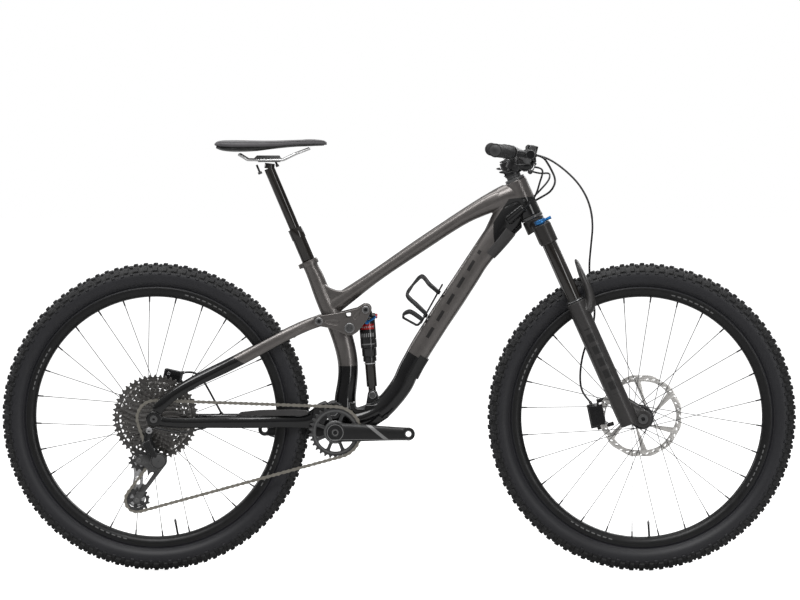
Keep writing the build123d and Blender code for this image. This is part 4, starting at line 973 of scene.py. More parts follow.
def toothed(centre, teeth, reach=3.0, seat=3.7, phase=0.0):
    """Sprocket edge: seats for the rollers between rounded teeth."""
    pitch = pitch_radius(teeth)
    found = []
    step = 2 * math.pi / teeth
    for k in range(teeth):
        middle = phase + k * step
        for share, radius in ((-0.5, pitch + reach), (-0.36, pitch + reach * 0.55),
                              (-0.25, pitch - seat * 0.45),
                              (-0.1, pitch - seat * 0.95), (0.1, pitch - seat * 0.95),
                              (0.25, pitch - seat * 0.45),
                              (0.36, pitch + reach * 0.55)):
            turn = middle + share * step
            found.append((centre.x + radius * math.cos(turn), centre.z + radius * math.sin(turn)))
    return found


def sector_hole(centre, inner, outer, middle, width_in, width_out, sweep=0.0, corner=2.0):
    """Window between two radii, rounded at its corners."""
    points = []
    for s in range(4):
        points.append(around(centre, outer, 0, middle + sweep + width_out * (s / 3 - 0.5)))
    for s in range(4):
        points.append(around(centre, inner, 0, middle - width_in * (s / 3 - 0.5)))
    return rounded([tuple(p.xz) for p in points], corner, 3)


def cassette():
    found = []
    for i, teeth in enumerate(TEETH):
        y = CHAIN_Y + (DRIVEN - i) * SPACING - 0.8 + 0.8
        pitch = pitch_radius(teeth)
        holes = []
        if i < 4:
            arms = 6
            inside = 24 if i else 26
            mid = pitch - 13 if i else pitch - 14
            for k in range(arms):
                middle = k * 2 * math.pi / arms + i * 0.12
                holes.append(sector_hole(REAR, inside, mid, middle, 0.5, 0.84, 0.35, 5))
        count = max(8, teeth // 2 * (1 if i < 5 else 0))
        if i < 6:
            for k in range(count):
                spot = around(REAR, pitch - 8.2, 0, k * 2 * math.pi / count)
                holes.append(ring_outline(tuple(spot.xz), 2.1 if i < 3 else 1.7, 10))
        holes.append(ring_outline((REAR.x, REAR.z), 16.5, 40))
        found.append(plate(f"sprocket_{teeth}", toothed(REAR, teeth, phase=i * 0.09), holes, y, 1.7, 0.25))
    found.append(lathe("sprocket_carrier", [(6.2, -73.7), (15, -73.7), (15.4, -73), (15.4, -71.5),
                                            (16.9, -71.2),
                                            (16.9, -28), (14, -26.2), (6.2, -26.2)], (REAR.x, 0, REAR.z),
                       LEFT, 48, closed=True))
    place(join("cassette_stack", found), "sprockets", looks["cassette"], "cassette_steel", "cassette")


def chain_run(wheels):
    """Arcs of the closed chain line round wheels of (centre, signed pitch radius), clockwise positive."""
    ways = []
    for (centre, radius), (following, other) in zip(wheels, wheels[1:] + wheels[:1]):
        gap = following - centre
        ways.append(math.atan2(gap.z, gap.x) - math.asin((radius - other) / gap.length))
    for i, (centre, radius) in enumerate(wheels):
        way_in, way_out = ways[i - 1], ways[i]
        turn = (way_in - way_out) % (2 * math.pi) if radius > 0 else -((way_out - way_in) % (2 * math.pi))
        steps = 24
        yield [Vector((centre.x - radius * math.sin(way_in - turn * s / steps), 0,
                       centre.z + radius * math.cos(way_in - turn * s / steps))) for s in range(steps + 1)]


def chain_pins():
    """Pins one pitch apart along the closed line."""
    wheels = [(BRACKET, pitch_radius(30)), (TENSION, pitch_radius(14)), (GUIDE, -pitch_radius(12)),
              (REAR, pitch_radius(TEETH[DRIVEN]))]
    flat = [Vector((c.x, 0, c.z)) for c, _ in wheels]
    line = [p for arc in chain_run([(c, r) for c, (_, r) in zip(flat, wheels)]) for p in arc]
    total = sum((b - a).length for a, b in zip(line, line[1:] + line[:1]))
    count = 2 * round(total / CHAIN_PITCH / 2)
    step = total / count
    pins = []
    walked = 0.0
    for a, b in zip(line, line[1:] + line[:1]):
        length = (b - a).length
        while length > 0 and len(pins) * step <= walked + length and len(pins) < count:
            pins.append(a + (b - a) * ((len(pins) * step - walked) / length))
        walked += length
    return pins


def link_plate(a, b, y, thick, high, waist):
    """Figure-of-eight side plate between two pins."""
    along = (b - a).normalized()
    above = LEFT.cross(along)
    middle = (a + b) / 2
    half = (b - a).length / 2
    shape = []
    for k in range(7):
        turn = math.radians(-90 + k * 30)
        shape.append((half + high * math.cos(turn), high * math.sin(turn)))
    shape.append((0, waist))
    shape += [(-u, v) for u, v in reversed(shape[:7])]
    shape.append((0, -waist))
    verts = []
    for lift in (-thick / 2, thick / 2):
        verts += [middle + along * u + above * v + LEFT * (y + lift) for u, v in shape]
    count = len(shape)
    faces = [tuple(range(count)), tuple(range(2 * count - 1, count - 1, -1))]
    faces += [(k, (k + 1) % count, count + (k + 1) % count, count + k) for k in range(count)]
    return verts, faces


def chain():
    pins = chain_pins()
    verts, faces = [], []

    def add(part):
        first = len(verts)
        verts.extend(part[0])
        faces.extend(tuple(first + k for k in face) for face in part[1])

    for i, pin in enumerate(pins):
        after = pins[(i + 1) % len(pins)]
        outer = i % 2 == 0
        for side in (-1, 1):
            offset = 2.75 if outer else 1.75
            add(link_plate(pin, after, CHAIN_Y + side * offset, 0.9, 4.1 if outer else 3.9,
                           2.9 if outer else 2.6))
        along = (after - pin).normalized()
        above = LEFT.cross(along)
        for radius, reach in ((3.8, 1.3), (1.7, 3.5)):
            rings = []
            for y in (-reach, reach):
                rings.append([pin + LEFT * (CHAIN_Y + y) + along * radius * math.cos(k * math.pi / 5)
                              + above * radius * math.sin(k * math.pi / 5) for k in range(10)])
            add(skin(rings))
    piece = object_of("chain_links", verts, faces, 30)
    piece.data.materials.append(looks["chain"])
    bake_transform(piece)
    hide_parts("chain")


def chainring():
    holes = []
    for k in range(8):
        middle = math.radians(k * 45)
        holes.append(sector_hole(BRACKET, 28, 47, middle, 0.5, 0.6, 0.0, 4.5))
    holes.append(ring_outline((BRACKET.x, BRACKET.z), 17.6, 40))
    ring = plate("ring_teeth", toothed(BRACKET, 30, 3.4), holes, CHAIN_Y, 2.4, 0.35)
    rim_band = lathe("ring_band", [(49, -54.2), (52.5, -54.2), (53, -53.6), (53, -50.4), (52.5, -49.8),
                                   (49, -49.8)],
                     (BRACKET.x, 0, BRACKET.z), LEFT, 72, closed=True)
    spider = lathe("ring_spider", [(17.4, -53.8), (26, -53.8), (27, -53.2), (27, -50.8), (26, -50.2),
                                   (17.4, -50.2)],
                   (BRACKET.x, 0, BRACKET.z), LEFT, 48, closed=True)
    place(join("chainring_plate", [ring, rim_band, spider]), "crankset", looks["ring"], "black_alloy",
          "chainring")


def crank_look():
    """Satin black arms with a pale ring and a pale slanted band."""
    look = Look("crank_black", Metallic=0.2)
    base = shades(look, (0.013, 0.013, 0.0135), 0.2, 60)
    reach, _ = look.radial(BRACKET)
    x, y, z = look.axes()
    near = look.math("LESS_THAN", y, -0.066)
    ring = look.both(look.fit(reach, 18.2, 18.6, 0.0, 1.0), look.fit(reach, 19.6, 20.0, 1.0, 0.0))
    band = look.both(look.beyond((-38.5, 325), (0.63, 0.78)), look.beyond((-34, 331), (-0.63, -0.78)))
    line = look.both(look.beyond((-100, 322.5), (0.01, -1)), look.beyond((-100, 321.2), (-0.01, 1)))
    marks = look.math("MULTIPLY", look.both(look.either(ring, band, line), near), 0.5)
    rough = look.fit(look.noise(80, 3), 0.3, 0.7, 0.3, 0.4)
    return look.done(look.mix(marks, base, (0.5, 0.5, 0.5)), rough, look.noise(2600, 2), 0.04, 0.1)


def cranks():
    """Hollow-forged arms with a softened skin, pedal eyes and a preload cap."""
    arms = melt("crank_pair", [copy_of("crank_arms")], 0.9, 6, 0.6)
    place(arms, "crankset", crank_look(), "black_alloy", "crank_arms")
    centre = (BRACKET.x, 0, BRACKET.z)
    cap = [lathe("cap", [(4, 60), (8.6, 60), (8.6, 73.6), (7.8, 74.6), (5, 74.6), (4.6, 71)], centre,
                 -LEFT, 32, hex_from=5),
           lathe("cap_left", [(4, 60), (8.6, 60), (8.6, 73.6), (7.8, 74.6), (5, 74.6), (4.6, 71)], centre,
                 LEFT, 32, hex_from=5)]
    eyes = []
    for side, tip in ((-1, (23.8, 335.5)), (1, (-326.2, 335.5))):
        eyes.append(lathe("eye", [(6.9, 66.6), (8.6, 66.6), (8.6, 79.3), (8.1, 79.8), (6.9, 79.8)],
                          (tip[0], 0, tip[1]), LEFT * side, 32, closed=True))
    place(join("crank_bolts", cap + eyes), "crankset", looks["machined"], "black_alloy")


cassette()
chain()
chainring()
cranks()


# ---- frame and rear triangle ----------------------------------------------------------------
TOP_TUBE = [(-160, 0, 637, 44, 37), (-120, 0, 665, 38, 36.5), (-50, 0, 715, 31, 37.6),
            (50, 0, 783.5, 33, 40.6), (150, 0, 849, 35, 44.6),
            (215, 0, 884, 46, 48.4), (244, 0, 895, 52, 48)]
DOWN_TUBE = [(-50, 0, 385, 54.5, 62.5), (-24, 0, 408, 51, 60.4), (8, 0, 450, 52, 58.4),
             (32, 0, 500, 52, 58.4),
             (93, 0, 600, 54.6, 58.4), (158.8, 0, 700, 54.6, 58.4), (191, 0, 750, 53.6, 56.4),
             (228, 0, 800, 60, 52.4),
             (250, 0, 828, 62, 50)]
CREASED = mirrored([(0, 1), (0.3, 0.985), (0.55, 0.93), (0.75, 0.83), (0.88, 0.66), (0.955, 0.4),
                    (0.985, 0.1),
                    (1.0, -0.22), (0.86, -0.5), (0.66, -0.76), (0.4, -0.93), (0.2, -0.985), (0, -1)])
FACETED = mirrored([(0, 1), (0.32, 0.99), (0.56, 0.95), (0.74, 0.85), (0.86, 0.66), (0.94, 0.4),
                    (0.99, 0.1), (1, -0.2),
                    (0.97, -0.5), (0.86, -0.76), (0.66, -0.92), (0.4, -0.98), (0, -1)])


def ringed_bolt(name, point, y, side, body, radius=9.5):
    """Pivot bolt in a pale ring, on one side of the bike."""
    spot = Vector((point.x, y, point.z))
    way = LEFT * side
    ring = lathe(name + "_ring", [(radius - 1.4, -0.4), (radius, -0.4), (radius, 0.9),
                                  (radius - 0.5, 1.4), (radius - 1.4, 1.4)],
                 spot, way, 36, closed=True)
    head = bolt(spot, way, radius - 1.6, 1.9, 0.5)
    place(ring, body, looks["steel"], "polished_steel")
    place(head, body, looks["machined"], "black_alloy")


def main_frame():
    tubes = [copy_of("main_frame"), limb("top", TOP_TUBE, CREASED, 8), limb("down", DOWN_TUBE, FACETED, 8)]
    shell = melt("frame_shell", tubes, 1.5, 9, 0.6)
    place(shell, "frame", looks["frame"], "frame_paint", "main_frame")
    for side in (-1, 1):
        for at, radius in (((288, 862), 4.2), ((300, 893), 3.0)):
            head = bolt(Vector((at[0], side * (21 if radius > 4 else 24.5), at[1])), LEFT * side, radius,
                        2.6)
            place(head, "frame", looks["machined"], "black_alloy")


def tube_guard(name, stations, look, below=-0.3):
    """Rubber plate that hugs the underside of the down tube."""
    half = [(0.1, -1.14), (0.5, -1.13), (0.82, -1.04), (0.99, -0.84), (1.09, -0.5), (1.12, below),
            (1.06, below + 0.08)]
    inner = [(1.0, below), (0.97, -0.5), (0.86, -0.76), (0.66, -0.93), (0.4, -0.99), (0.1, -1.0)]
    section = half + inner
    section = section + [(-a, b) for a, b in reversed(section)]
    plate_skin = limb(name, stations, section, 6, 35)
    place(plate_skin, "frame", look, "guard_rubber")


def rear_triangle():
    stay = melt("chainstay_shell", [copy_of("chainstay")], 1.2, 5, 0.6)
    place(stay, "swingarm", looks["gloss"], "frame_paint", "chainstay")
    guard = melt("chainstay_guard_skin", [copy_of("chainstay_guard")], 0.9, 3, 0.6)
    place(guard, "swingarm", looks["guard"], "guard_rubber", "chainstay_guard")
    upper = melt("seatstay_shell", [copy_of("seatstay")], 1.2, 5, 0.6)
    place(upper, "seatstays", looks["stay"], "frame_paint", "seatstay")
    for side in (-1, 1):
        ringed_bolt(f"dropout_bolt_{side}", REAR, side * 88, side, "swingarm", 9)
        ringed_bolt(f"main_bolt_{side}", MAIN_PIVOT, side * 44.4, side, "swingarm", 12)


def rocker():
    """Forged link with a window and a sculpted side, and its pivot bolts."""
    link = melt("rocker_link_shell", [copy_of("rocker")], 0.9, 4, 1.0)
    window = rounded([(-126, 612), (-116, 612), (-113.5, 625), (-128, 622.5)], 4, 4)
    cutters = [plate(f"window_{side}", window, [], side * 37.5, 14) for side in (-1, 1)]
    hollow = rounded([(-176, 598), (-148, 592), (-140, 602), (-150, 610), (-178, 608)], 7, 5)
    cutters += [plate(f"hollow_{side}", hollow, [], side * 42.3, 6, 1.2) for side in (-1, 1)]
    groove = rounded([(-104, 606), (-93, 618), (-92, 630), (-101, 626), (-111, 612)], 4, 4)
    cutters += [plate(f"groove_{side}", groove, [], side * 42.6, 6, 1.2) for side in (-1, 1)]
    carve(link, cutters)
    shade(link.data, 40)
    place(link, "rocker_link", looks["grey"], "frame_paint", "rocker")
    for side in (-1, 1):
        ringed_bolt(f"rocker_bolt_{side}", ROCKER_PIVOT, side * 43.6, side, "rocker_link", 12)
        ringed_bolt(f"stay_bolt_{side}", STAY_PIVOT, side * 43.2, side, "rocker_link", 9)
        ringed_bolt(f"shock_bolt_{side}", SHOCK_TOP, side * 43.2, side, "rocker_link", 9)


def shock_look():
    """Gloss black air can with a red band and plain pale and grey marks."""
    look = Look("shock_black", Coat_Weight=0.6, Coat_Roughness=0.08, Metallic=0.2)
    base = shades(look, (0.011, 0.011, 0.0115), 0.2, 60, 2200)

    def band(low, high):
        way = (SHOCK_WAY.x, SHOCK_WAY.z)
        start, end = shock(low), shock(high)
        return look.both(look.beyond((start.x, start.z), way, 0.4),
                         look.beyond((end.x, end.z), (-way[0], -way[1]), 0.4))

    x, y, _ = look.axes()
    near = look.fit(y, -0.0125, -0.0105, 1.0, 0.0)
    checks = look.math("LESS_THAN", look.math("FRACT", look.math("MULTIPLY", x, 190)), 0.55)
    colour = look.mix(look.both(band(158, 171), near), base, (0.45, 0.012, 0.015))
    colour = look.mix(look.math("MULTIPLY", look.both(band(162, 166), near, checks), 0.8), colour,
                      (0.5, 0.5, 0.5))
    colour = look.mix(look.math("MULTIPLY", look.both(band(140, 149), near, checks), 0.55), colour,
                      (0.5, 0.5, 0.5))
    colour = look.mix(look.math("MULTIPLY", look.both(band(121, 124), near), 0.35), colour, (0.5, 0.5, 0.5))
    rough = look.fit(look.noise(80, 3), 0.3, 0.7, 0.16, 0.26)
    return look.done(colour, rough, look.noise(2400, 2), 0.04, 0.1)


def rear_shock():
    origin, way = SHOCK_EYE, SHOCK_WAY
    can = [(12.8, 80), (14.5, 80), (16, 81.2), (16, 90.5), (15.2, 91.3), (15.2, 92.6), (17, 93.4),
           (17.6, 95), (17.6, 112),
           (18.6, 113.4), (19.5, 114.4), (19.5, 134), (19.1, 134.4), (19.1, 135.6), (19.5, 136),
           (19.5, 182), (18.6, 184.6),
           (15.5, 186.4), (14.2, 187.4), (14.2, 199), (13.2, 202.5), (12.8, 203)]
    body = lathe("shock_can", can, origin, way, 56, smooth=30, closed=True)
    top = [lathe("eyelet", [(4, -27.4), (9, -27.4), (10, -26.6), (10, -15), (12, -13), (12, 13), (10, 15),
                            (10, 26.6),
                            (9, 27.4), (4, 27.4)], SHOCK_TOP, LEFT, 36, closed=True)]
    top.append(lathe("valve_boss", [(0.5, 0), (7.5, 0), (7.5, 7), (6.5, 8.2), (0.5, 8.2)],
                     shock(190) + Vector((13, 0, 0)),
                     Vector((1, 0, -0.05)), 28, closed=True))
    place(join("shock_can_body", [body, *top]), "shock_upper", shock_look(), "shock_black", "shock_body")
    red = lathe("rebound_knob", [(0.5, 0), (5.2, 0), (5.6, 0.6), (5.6, 4.4), (5, 5), (0.5, 5)],
                shock(190) + Vector((21.2, 0, 0)),
                Vector((1, 0, -0.05)), 24, hex_from=1, closed=True)
    place(red, "shock_upper", looks["red"], "shock_black")
    ring = lathe("travel_ring", [(12.7, 74), (14, 74.3), (14.5, 75.3), (14, 76.3), (12.7, 76.6)], origin,
                 way, 40, closed=True)
    place(ring, "shock_upper", looks["pale"], "seal_rubber")
    for side in (-1, 1):
        ringed_bolt(f"eye_bolt_{side}", SHOCK_EYE, side * 20.4, side, "frame", 9)


main_frame()
tube_guard("upper_tube_guard", [(206, 0, 772, 54, 55), (222, 0, 792, 58, 53), (240, 0, 815, 61, 51),
                                (252, 0, 831, 62, 50)],
           looks["guard"])
tube_guard("lower_tube_guard", [(20, 0, 476, 52, 58.4), (34, 0, 503, 52, 58.4), (47, 0, 525, 52.6, 58.4)],
           looks["seal"])
rear_triangle()
rocker()
rear_shock()


# ---- fork -----------------------------------------------------------------------------------
def leg_look():
    """Dark grey legs with plain darker blocks along the outer side."""
    look = Look("fork_lower_paint", Coat_Weight=0.12, Metallic=0.3)
    base = shades(look, (0.047, 0.0445, 0.044), 0.12, 24, 2600)
    x, y, z = look.axes()
    along = look.math("ADD", look.math("MULTIPLY", x, -STEER[2].x / MM),
                      look.math("MULTIPLY", z, -STEER[2].z / MM))
    blocks = look.math("LESS_THAN", look.math("FRACT", look.math("MULTIPLY", along, 1 / 31.0)), 0.66)
    start, end = steer(0, 0, -390), steer(0, 0, -560)
    way = (-STEER[2].x, -STEER[2].z)
    lane = steer(LEG_AHEAD, 0, -450)
    ahead = (STEER[1].x, STEER[1].z)
    within = look.both(look.beyond((start.x, start.z), way),
                       look.beyond((end.x, end.z), (-way[0], -way[1])),
                       look.beyond((lane.x - 9, lane.z - 4), ahead),
                       look.beyond((lane.x + 9, lane.z + 4), (-ahead[0], -ahead[1])))
    outside = look.math("GREATER_THAN", look.math("ABSOLUTE", y), LEG_Y * MM)
    marks = look.math("MULTIPLY", look.both(blocks, within, outside), 0.75)
    colour = look.mix(marks, base, (0.012, 0.012, 0.012))
    colour = look.mix(look.wear(0.2), colour, (0.2, 0.2, 0.2))
    rough = look.fit(look.noise(70, 3), 0.3, 0.7, 0.36, 0.46)
    return look.done(colour, rough, look.noise(2400, 2), 0.05, 0.1)


def fork():
    crown = melt("fork_crown_casting", [copy_of("fork_crown")], 1.1, 6, 0.7)
    place(crown, "steering", looks["leg"], "fork_grey", "fork_crown")
    lowers = melt("fork_lower_casting", [copy_of("fork_lowers")], 1.25, 6, 0.6)
    place(lowers, "fork_lower_legs", leg_look(), "fork_grey", "fork_lowers")
    up = STEER[2]
    for side in (-1, 1):
        foot = steer(LEG_AHEAD, side * LEG_Y, 0)
        wiper = lathe(f"wiper_{side}", [(17.1, -322.2), (20.8, -322.2), (21.2, -321.5), (21.2, -320),
                                        (20.6, -319.4), (20.6, -318.4),
                                        (19.6, -317), (17.6, -315.4), (17.1, -315.4)], foot, up, 48,
                      closed=True)
        place(wiper, "fork_lower_legs", looks["seal"], "seal_rubber", "fork_seals")
        spring = lathe(f"wiper_ring_{side}", [(20.5, -319.3), (21.5, -319.1), (21.5, -318.1),
                                              (20.5, -317.9)], foot, up, 48, closed=True)
        place(spring, "fork_lower_legs", looks["steel"], "polished_steel")
        cap = lathe(f"leg_cap_{side}", [(1, -124), (16.8, -124), (16.8, -121.5), (14.6, -120.6),
                                        (10, -120.4), (9.4, -121.6), (1, -121.6)],
                    foot, up, 40, hex_from=None, closed=True)
        place(cap, "steering", looks["machined"], "black_alloy")
        foot_bolt = bolt(steer(LEG_AHEAD + 2, side * LEG_Y, -641), -up, 6, 3)
        place(foot_bolt, "fork_lower_legs", looks["machined"], "black_alloy")
    dial = [lathe("dial_ring", [(9, -110.8), (13.6, -110.8), (14, -110.2), (14, -108.6), (12.6, -107.6),
                                (9, -107.6)],
                  steer(LEG_AHEAD, -LEG_Y, 0), up, 40, closed=True)]
    place(join("dial_crown", dial), "fork_dial", looks["blue"], "fork_blue")


def caliper(name, node, body):
    """Two-piston caliper with a softened cast body, its bolts, and a piston cap."""
    cast = melt(f"{name}_casting", [copy_of(node)], 0.8, 3, 0.8)
    place(cast, body, looks["machined"], "black_alloy", node)
    low, high = (Vector(corner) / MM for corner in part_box(node))
    middle = (low + high) / 2
    bolts = []
    for k, (share_x, share_z) in enumerate(((0.3, 0.78), (0.7, 0.24))):
        spot = Vector((low.x + (high.x - low.x) * share_x, low.y + 1.2, low.z + (high.z - low.z) * share_z))
        bolts.append(bolt(spot, -LEFT, 4.2, 2.2))
    piston = lathe("piston_cap", [(1, 0), (10, 0), (10.4, 0.6), (10.4, 2.4), (8.8, 3.4), (1, 3.4)],
                   (middle.x, high.y - 1.6, middle.z), LEFT, 32)
    place(join(f"{name}_bolts", [*bolts, piston]), body, looks["steel"], "polished_steel")


fork()
caliper("front_brake", "front_caliper", "fork_lower_legs")
caliper("rear_brake", "rear_caliper", "seatstays")


# ---- derailleur -----------------------------------------------------------------------------
def pulley(name, centre, teeth, body):
    holes = [sector_hole(centre, 10.5, pitch_radius(teeth) - 7.5, k * 2 * math.pi / 5, 0.55, 0.75, 0.1,
                         2) for k in range(5)]
    holes.append(ring_outline((centre.x, centre.z), 4.2, 24))
    wheel = plate(name + "_wheel", toothed(centre, teeth, 3.2), holes, CHAIN_Y, 2.2, 0.3)
    core = lathe(name + "_core", [(4.2, -55.4), (8.6, -55.4), (9, -55), (9, -49), (8.6, -48.6),
                                  (4.2, -48.6)], (centre.x, 0, centre.z),
                 LEFT, 32, closed=True)
    place(join(name + "_disc", [wheel, core]), body, looks["plastic"], "plastic_black", name)


def derailleur():
    body = melt("derailleur_casting", [copy_of("derailleur_body")], 0.9, 4, 0.8)
    place(body, "swingarm", looks["machined"], "black_alloy", "derailleur_body")
    outer = rounded([(-590, 286), (-560, 282), (-556, 262), (-568, 246), (-606, 196), (-617, 176),
                     (-621, 166), (-633, 166),
                     (-637, 177), (-628, 190), (-600, 232), (-602, 250), (-612, 258), (-629, 262),
                     (-630, 276), (-618, 281)], 8, 5)
    cut = rounded([(-594, 242), (-585, 242), (-606, 212), (-612, 214)], 4, 4)
    cage = plate("cage_outer", outer, [cut], -58.2, 2.4, 0.4)
    boss = lathe("cage_boss", [(4, -61.8), (16, -61.8), (17, -61), (17, -57.6), (16, -57), (4, -57)],
                 (CAGE_PIVOT.x, 0, CAGE_PIVOT.z), LEFT, 40, closed=True)
    pins = []
    for wheel in (GUIDE, TENSION):
        at = (wheel.x, 0, wheel.z)
        pins.append(lathe("pulley_bolt", [(1, -61), (5.2, -61), (5.8, -60.4), (5.8, -59.2), (4, -59.2),
                                          (4, -44.8), (1, -44.8)], at, LEFT, 24, closed=True))
    place(join("cage_outer_plate", [cage, boss, *pins]), "derailleur_arm", looks["machined"],
          "black_alloy", "derailleur_cage")
    inner = rounded([(-634, 284), (-610, 284), (-606, 262), (-612, 236), (-614, 205), (-606, 186),
                     (-612, 162), (-626, 156),
                     (-646, 162), (-650, 182), (-640, 202), (-634, 236), (-638, 262)], 8, 5)
    slots = [rounded([(-630, 232), (-618, 232), (-619, 212), (-633, 212)], 4, 4)]
    place(plate("cage_inner_plate", inner, slots, -45.6, 2.0, 0.35), "derailleur_arm", looks["steel"],
          "polished_steel")
    shield = rounded([(-628, 149), (-610, 156), (-599, 172), (-598, 186), (-604, 186), (-605, 174),
                      (-614, 161), (-628, 155),
                      (-642, 160), (-646, 154)], 3, 3)
    place(plate("cage_shield", shield, [], -52, 9, 0.6), "derailleur_arm", looks["plastic"],
          "plastic_black")
    clutch = lathe("clutch_cover", [(1, -96.2), (15.5, -96.2), (17.5, -95.2), (18.3, -93), (18.3, -90),
                                    (1, -90)],
                   (CAGE_PIVOT.x, 0, CAGE_PIVOT.z), LEFT, 40, closed=True)
    place(clutch, "swingarm", looks["plastic"], "plastic_black")
    hanger = bolt(Vector((-594.1, -100, 345)), -LEFT, 7.5, 2.4)
    limit = bolt(Vector((-583, -96.2, 300)), -LEFT, 3, 2.2)
    place(join("derailleur_bolts", [hanger, limit]), "swingarm", looks["steel"], "polished_steel")


pulley("guide_pulley", GUIDE, 12, "upper_jockey_wheel")
pulley("tension_pulley", TENSION, 14, "lower_jockey_wheel")
derailleur()


# ---- cockpit --------------------------------------------------------------------------------
CLAMP = steer(38, 0, 31)
BAR_LINE = [(CLAMP.x, 0, CLAMP.z, 15.9), (CLAMP.x, 26, CLAMP.z, 15.9),
            (CLAMP.x - 1, 45, CLAMP.z + 1, 15.7), (296, 95, 997, 13.6),
            (284, 148, 1006, 11.3), (271.6, 200, 1007.8, 11.1), (256, 265, 1010, 11.1),
            (227, 386, 1013.5, 11.1)]


def pipe(name, rows, count=32, steps=5, smooth=60):
    """Round tube through points of (x, y, z, radius) with rings that don't twist."""
    rows = spread(rows, steps)
    centres = [Vector(row[:3]) for row in rows]
    rings = []
    first = None
    for i, row in enumerate(rows):
        way = (centres[min(i + 1, len(rows) - 1)] - centres[max(i - 1, 0)]).normalized()
        if first is None:
            first = across_of(way)[0]
        first = (first - way * first.dot(way)).normalized()
        second = way.cross(first)
        rings.append([centres[i] + first * row[3] * math.cos(2 * math.pi * k / count)
                      + second * row[3] * math.sin(2 * math.pi * k / count) for k in range(count)])
    return object_of(name, *skin(rings), smooth)


def on_bar(y):
    """Point on the bar's outer stretch at a distance from the middle."""
    inner, outer = Vector(BAR_LINE[4][:3]), Vector(BAR_LINE[7][:3])
    share = (abs(y) - inner.y) / (outer.y - inner.y)
    spot = inner.lerp(outer, share)
    return Vector((spot.x, math.copysign(spot.y, y), spot.z))


def handlebar():
    line = [(x, -y, z, r) for x, y, z, r in reversed(BAR_LINE[1:])] + [tuple(row) for row in BAR_LINE]
    place(pipe("riser_bar", line, 40, 8), "steering", looks["anodised"], "black_alloy", "handlebar")


def grip(side):
    start, end = on_bar(side * 255), on_bar(side * 390)
    length = (end - start).length
    profile = [(11.4, 0.4), (16.4, 0.4), (17, 1), (17, 6.6), (16.4, 7.2), (15.6, 7.6), (15.4, 9)]
    along = 10.0
    while along < length - 8:
        profile += [(15.5, along), (15.5, along + 2.2), (14.5, along + 2.6), (14.5, along + 3.8)]
        along += 4.2
    profile += [(15.7, length - 6.5), (16.2, length - 3.5), (15.8, length - 0.8), (14, length),
                (11.4, length)]
    sleeve = lathe(f"grip_{side}", profile, start, end - start, 48, smooth=30, closed=True)
    place(sleeve, "steering", looks["rubber"], "grip_rubber", "grips")
    plug = lathe(f"bar_plug_{side}", [(1, 0), (10.8, 0), (12.6, 0.5), (12.9, 1.4), (11.5, 2.3), (1, 2.6)],
                 end, end - start, 32)
    place(plug, "steering", looks["plastic"], "plastic_black")
    clamp = bolt(start + (end - start).normalized() * 3.8 + Vector((0, 0, -16.4)), Vector((0.3, 0, -1)),
                 3.2, 2.4)
    place(clamp, "steering", looks["steel"], "polished_steel")


def stem_and_controls():
    stem = melt("stem_forging", [copy_of("stem")], 0.9, 3, 0.8)
    place(stem, "steering", looks["machined"], "black_alloy", "stem")
    bolts = []
    for side in (-1, 1):
        for lift in (-1, 1):
            spot = steer(38 + 19.6, side * 15, 31 + lift * 12.5)
            bolts.append(bolt(spot, STEER[1], 3.9, 2.6))
        bolts.append(bolt(steer(-19, side * 8, 31 + side * 9), -STEER[1], 3.4, 2.4))
    bolts.append(bolt(steer(0, 0, 55.6), STEER[2], 5.2, 1.8))
    place(join("stem_bolts", bolts), "steering", looks["steel"], "polished_steel")
    masters = melt("brake_master_castings", [copy_of("brake_masters")], 0.9, 3, 0.8)
    place(masters, "steering", looks["machined"], "black_alloy", "brake_masters")
    for node, body in (("brake_lever_right", "right_brake_lever"),
                       ("brake_lever_left", "left_brake_lever")):
        place(melt(f"{node}_blade", [copy_of(node)], 0.7, 4, 0.9), body, looks["machined"], "black_alloy",
              node)
    for node, body in (("shifter_pod", "steering"), ("dropper_remote", "steering"),
                       ("shift_paddle", "shift_lever"),
                       ("dropper_paddle", "dropper_lever")):
        place(melt(f"{node}_moulding", [copy_of(node)], 0.7, 4, 0.9), body, looks["plastic"],
              "plastic_black", node)


handlebar()
for grip_side in (-1, 1):
    grip(grip_side)
stem_and_controls()


CAGE_FOOT = Vector((60, 0, 600))
CAGE_WAY = Vector((58, 0, 105)).normalized()
CAGE_OUT = Vector((-CAGE_WAY.z, 0, CAGE_WAY.x))
CAGE_AXIS = CAGE_FOOT + CAGE_OUT * 36


def cage_spot(along, out, y):
    return CAGE_FOOT + CAGE_WAY * along + CAGE_OUT * out + Vector((0, y, 0))


def strap(name, points, width, thick):
    """Flat band through points, turned to face the middle of the bottle."""
    rows = [Vector(row) for row in spread(points, 6)]
    rings = []
    for i, spot in enumerate(rows):
        way = (rows[min(i + 1, len(rows) - 1)] - rows[max(i - 1, 0)]).normalized()
        out = spot - CAGE_AXIS
        out = out - CAGE_WAY * out.dot(CAGE_WAY)
        out = (out - way * out.dot(way)).normalized()
        wide = way.cross(out)
        rings.append([spot + wide * a * width / 2 + out * b * thick / 2 for a, b in oval(4.0, 16)])
    return object_of(name, *skin(rings), 40)


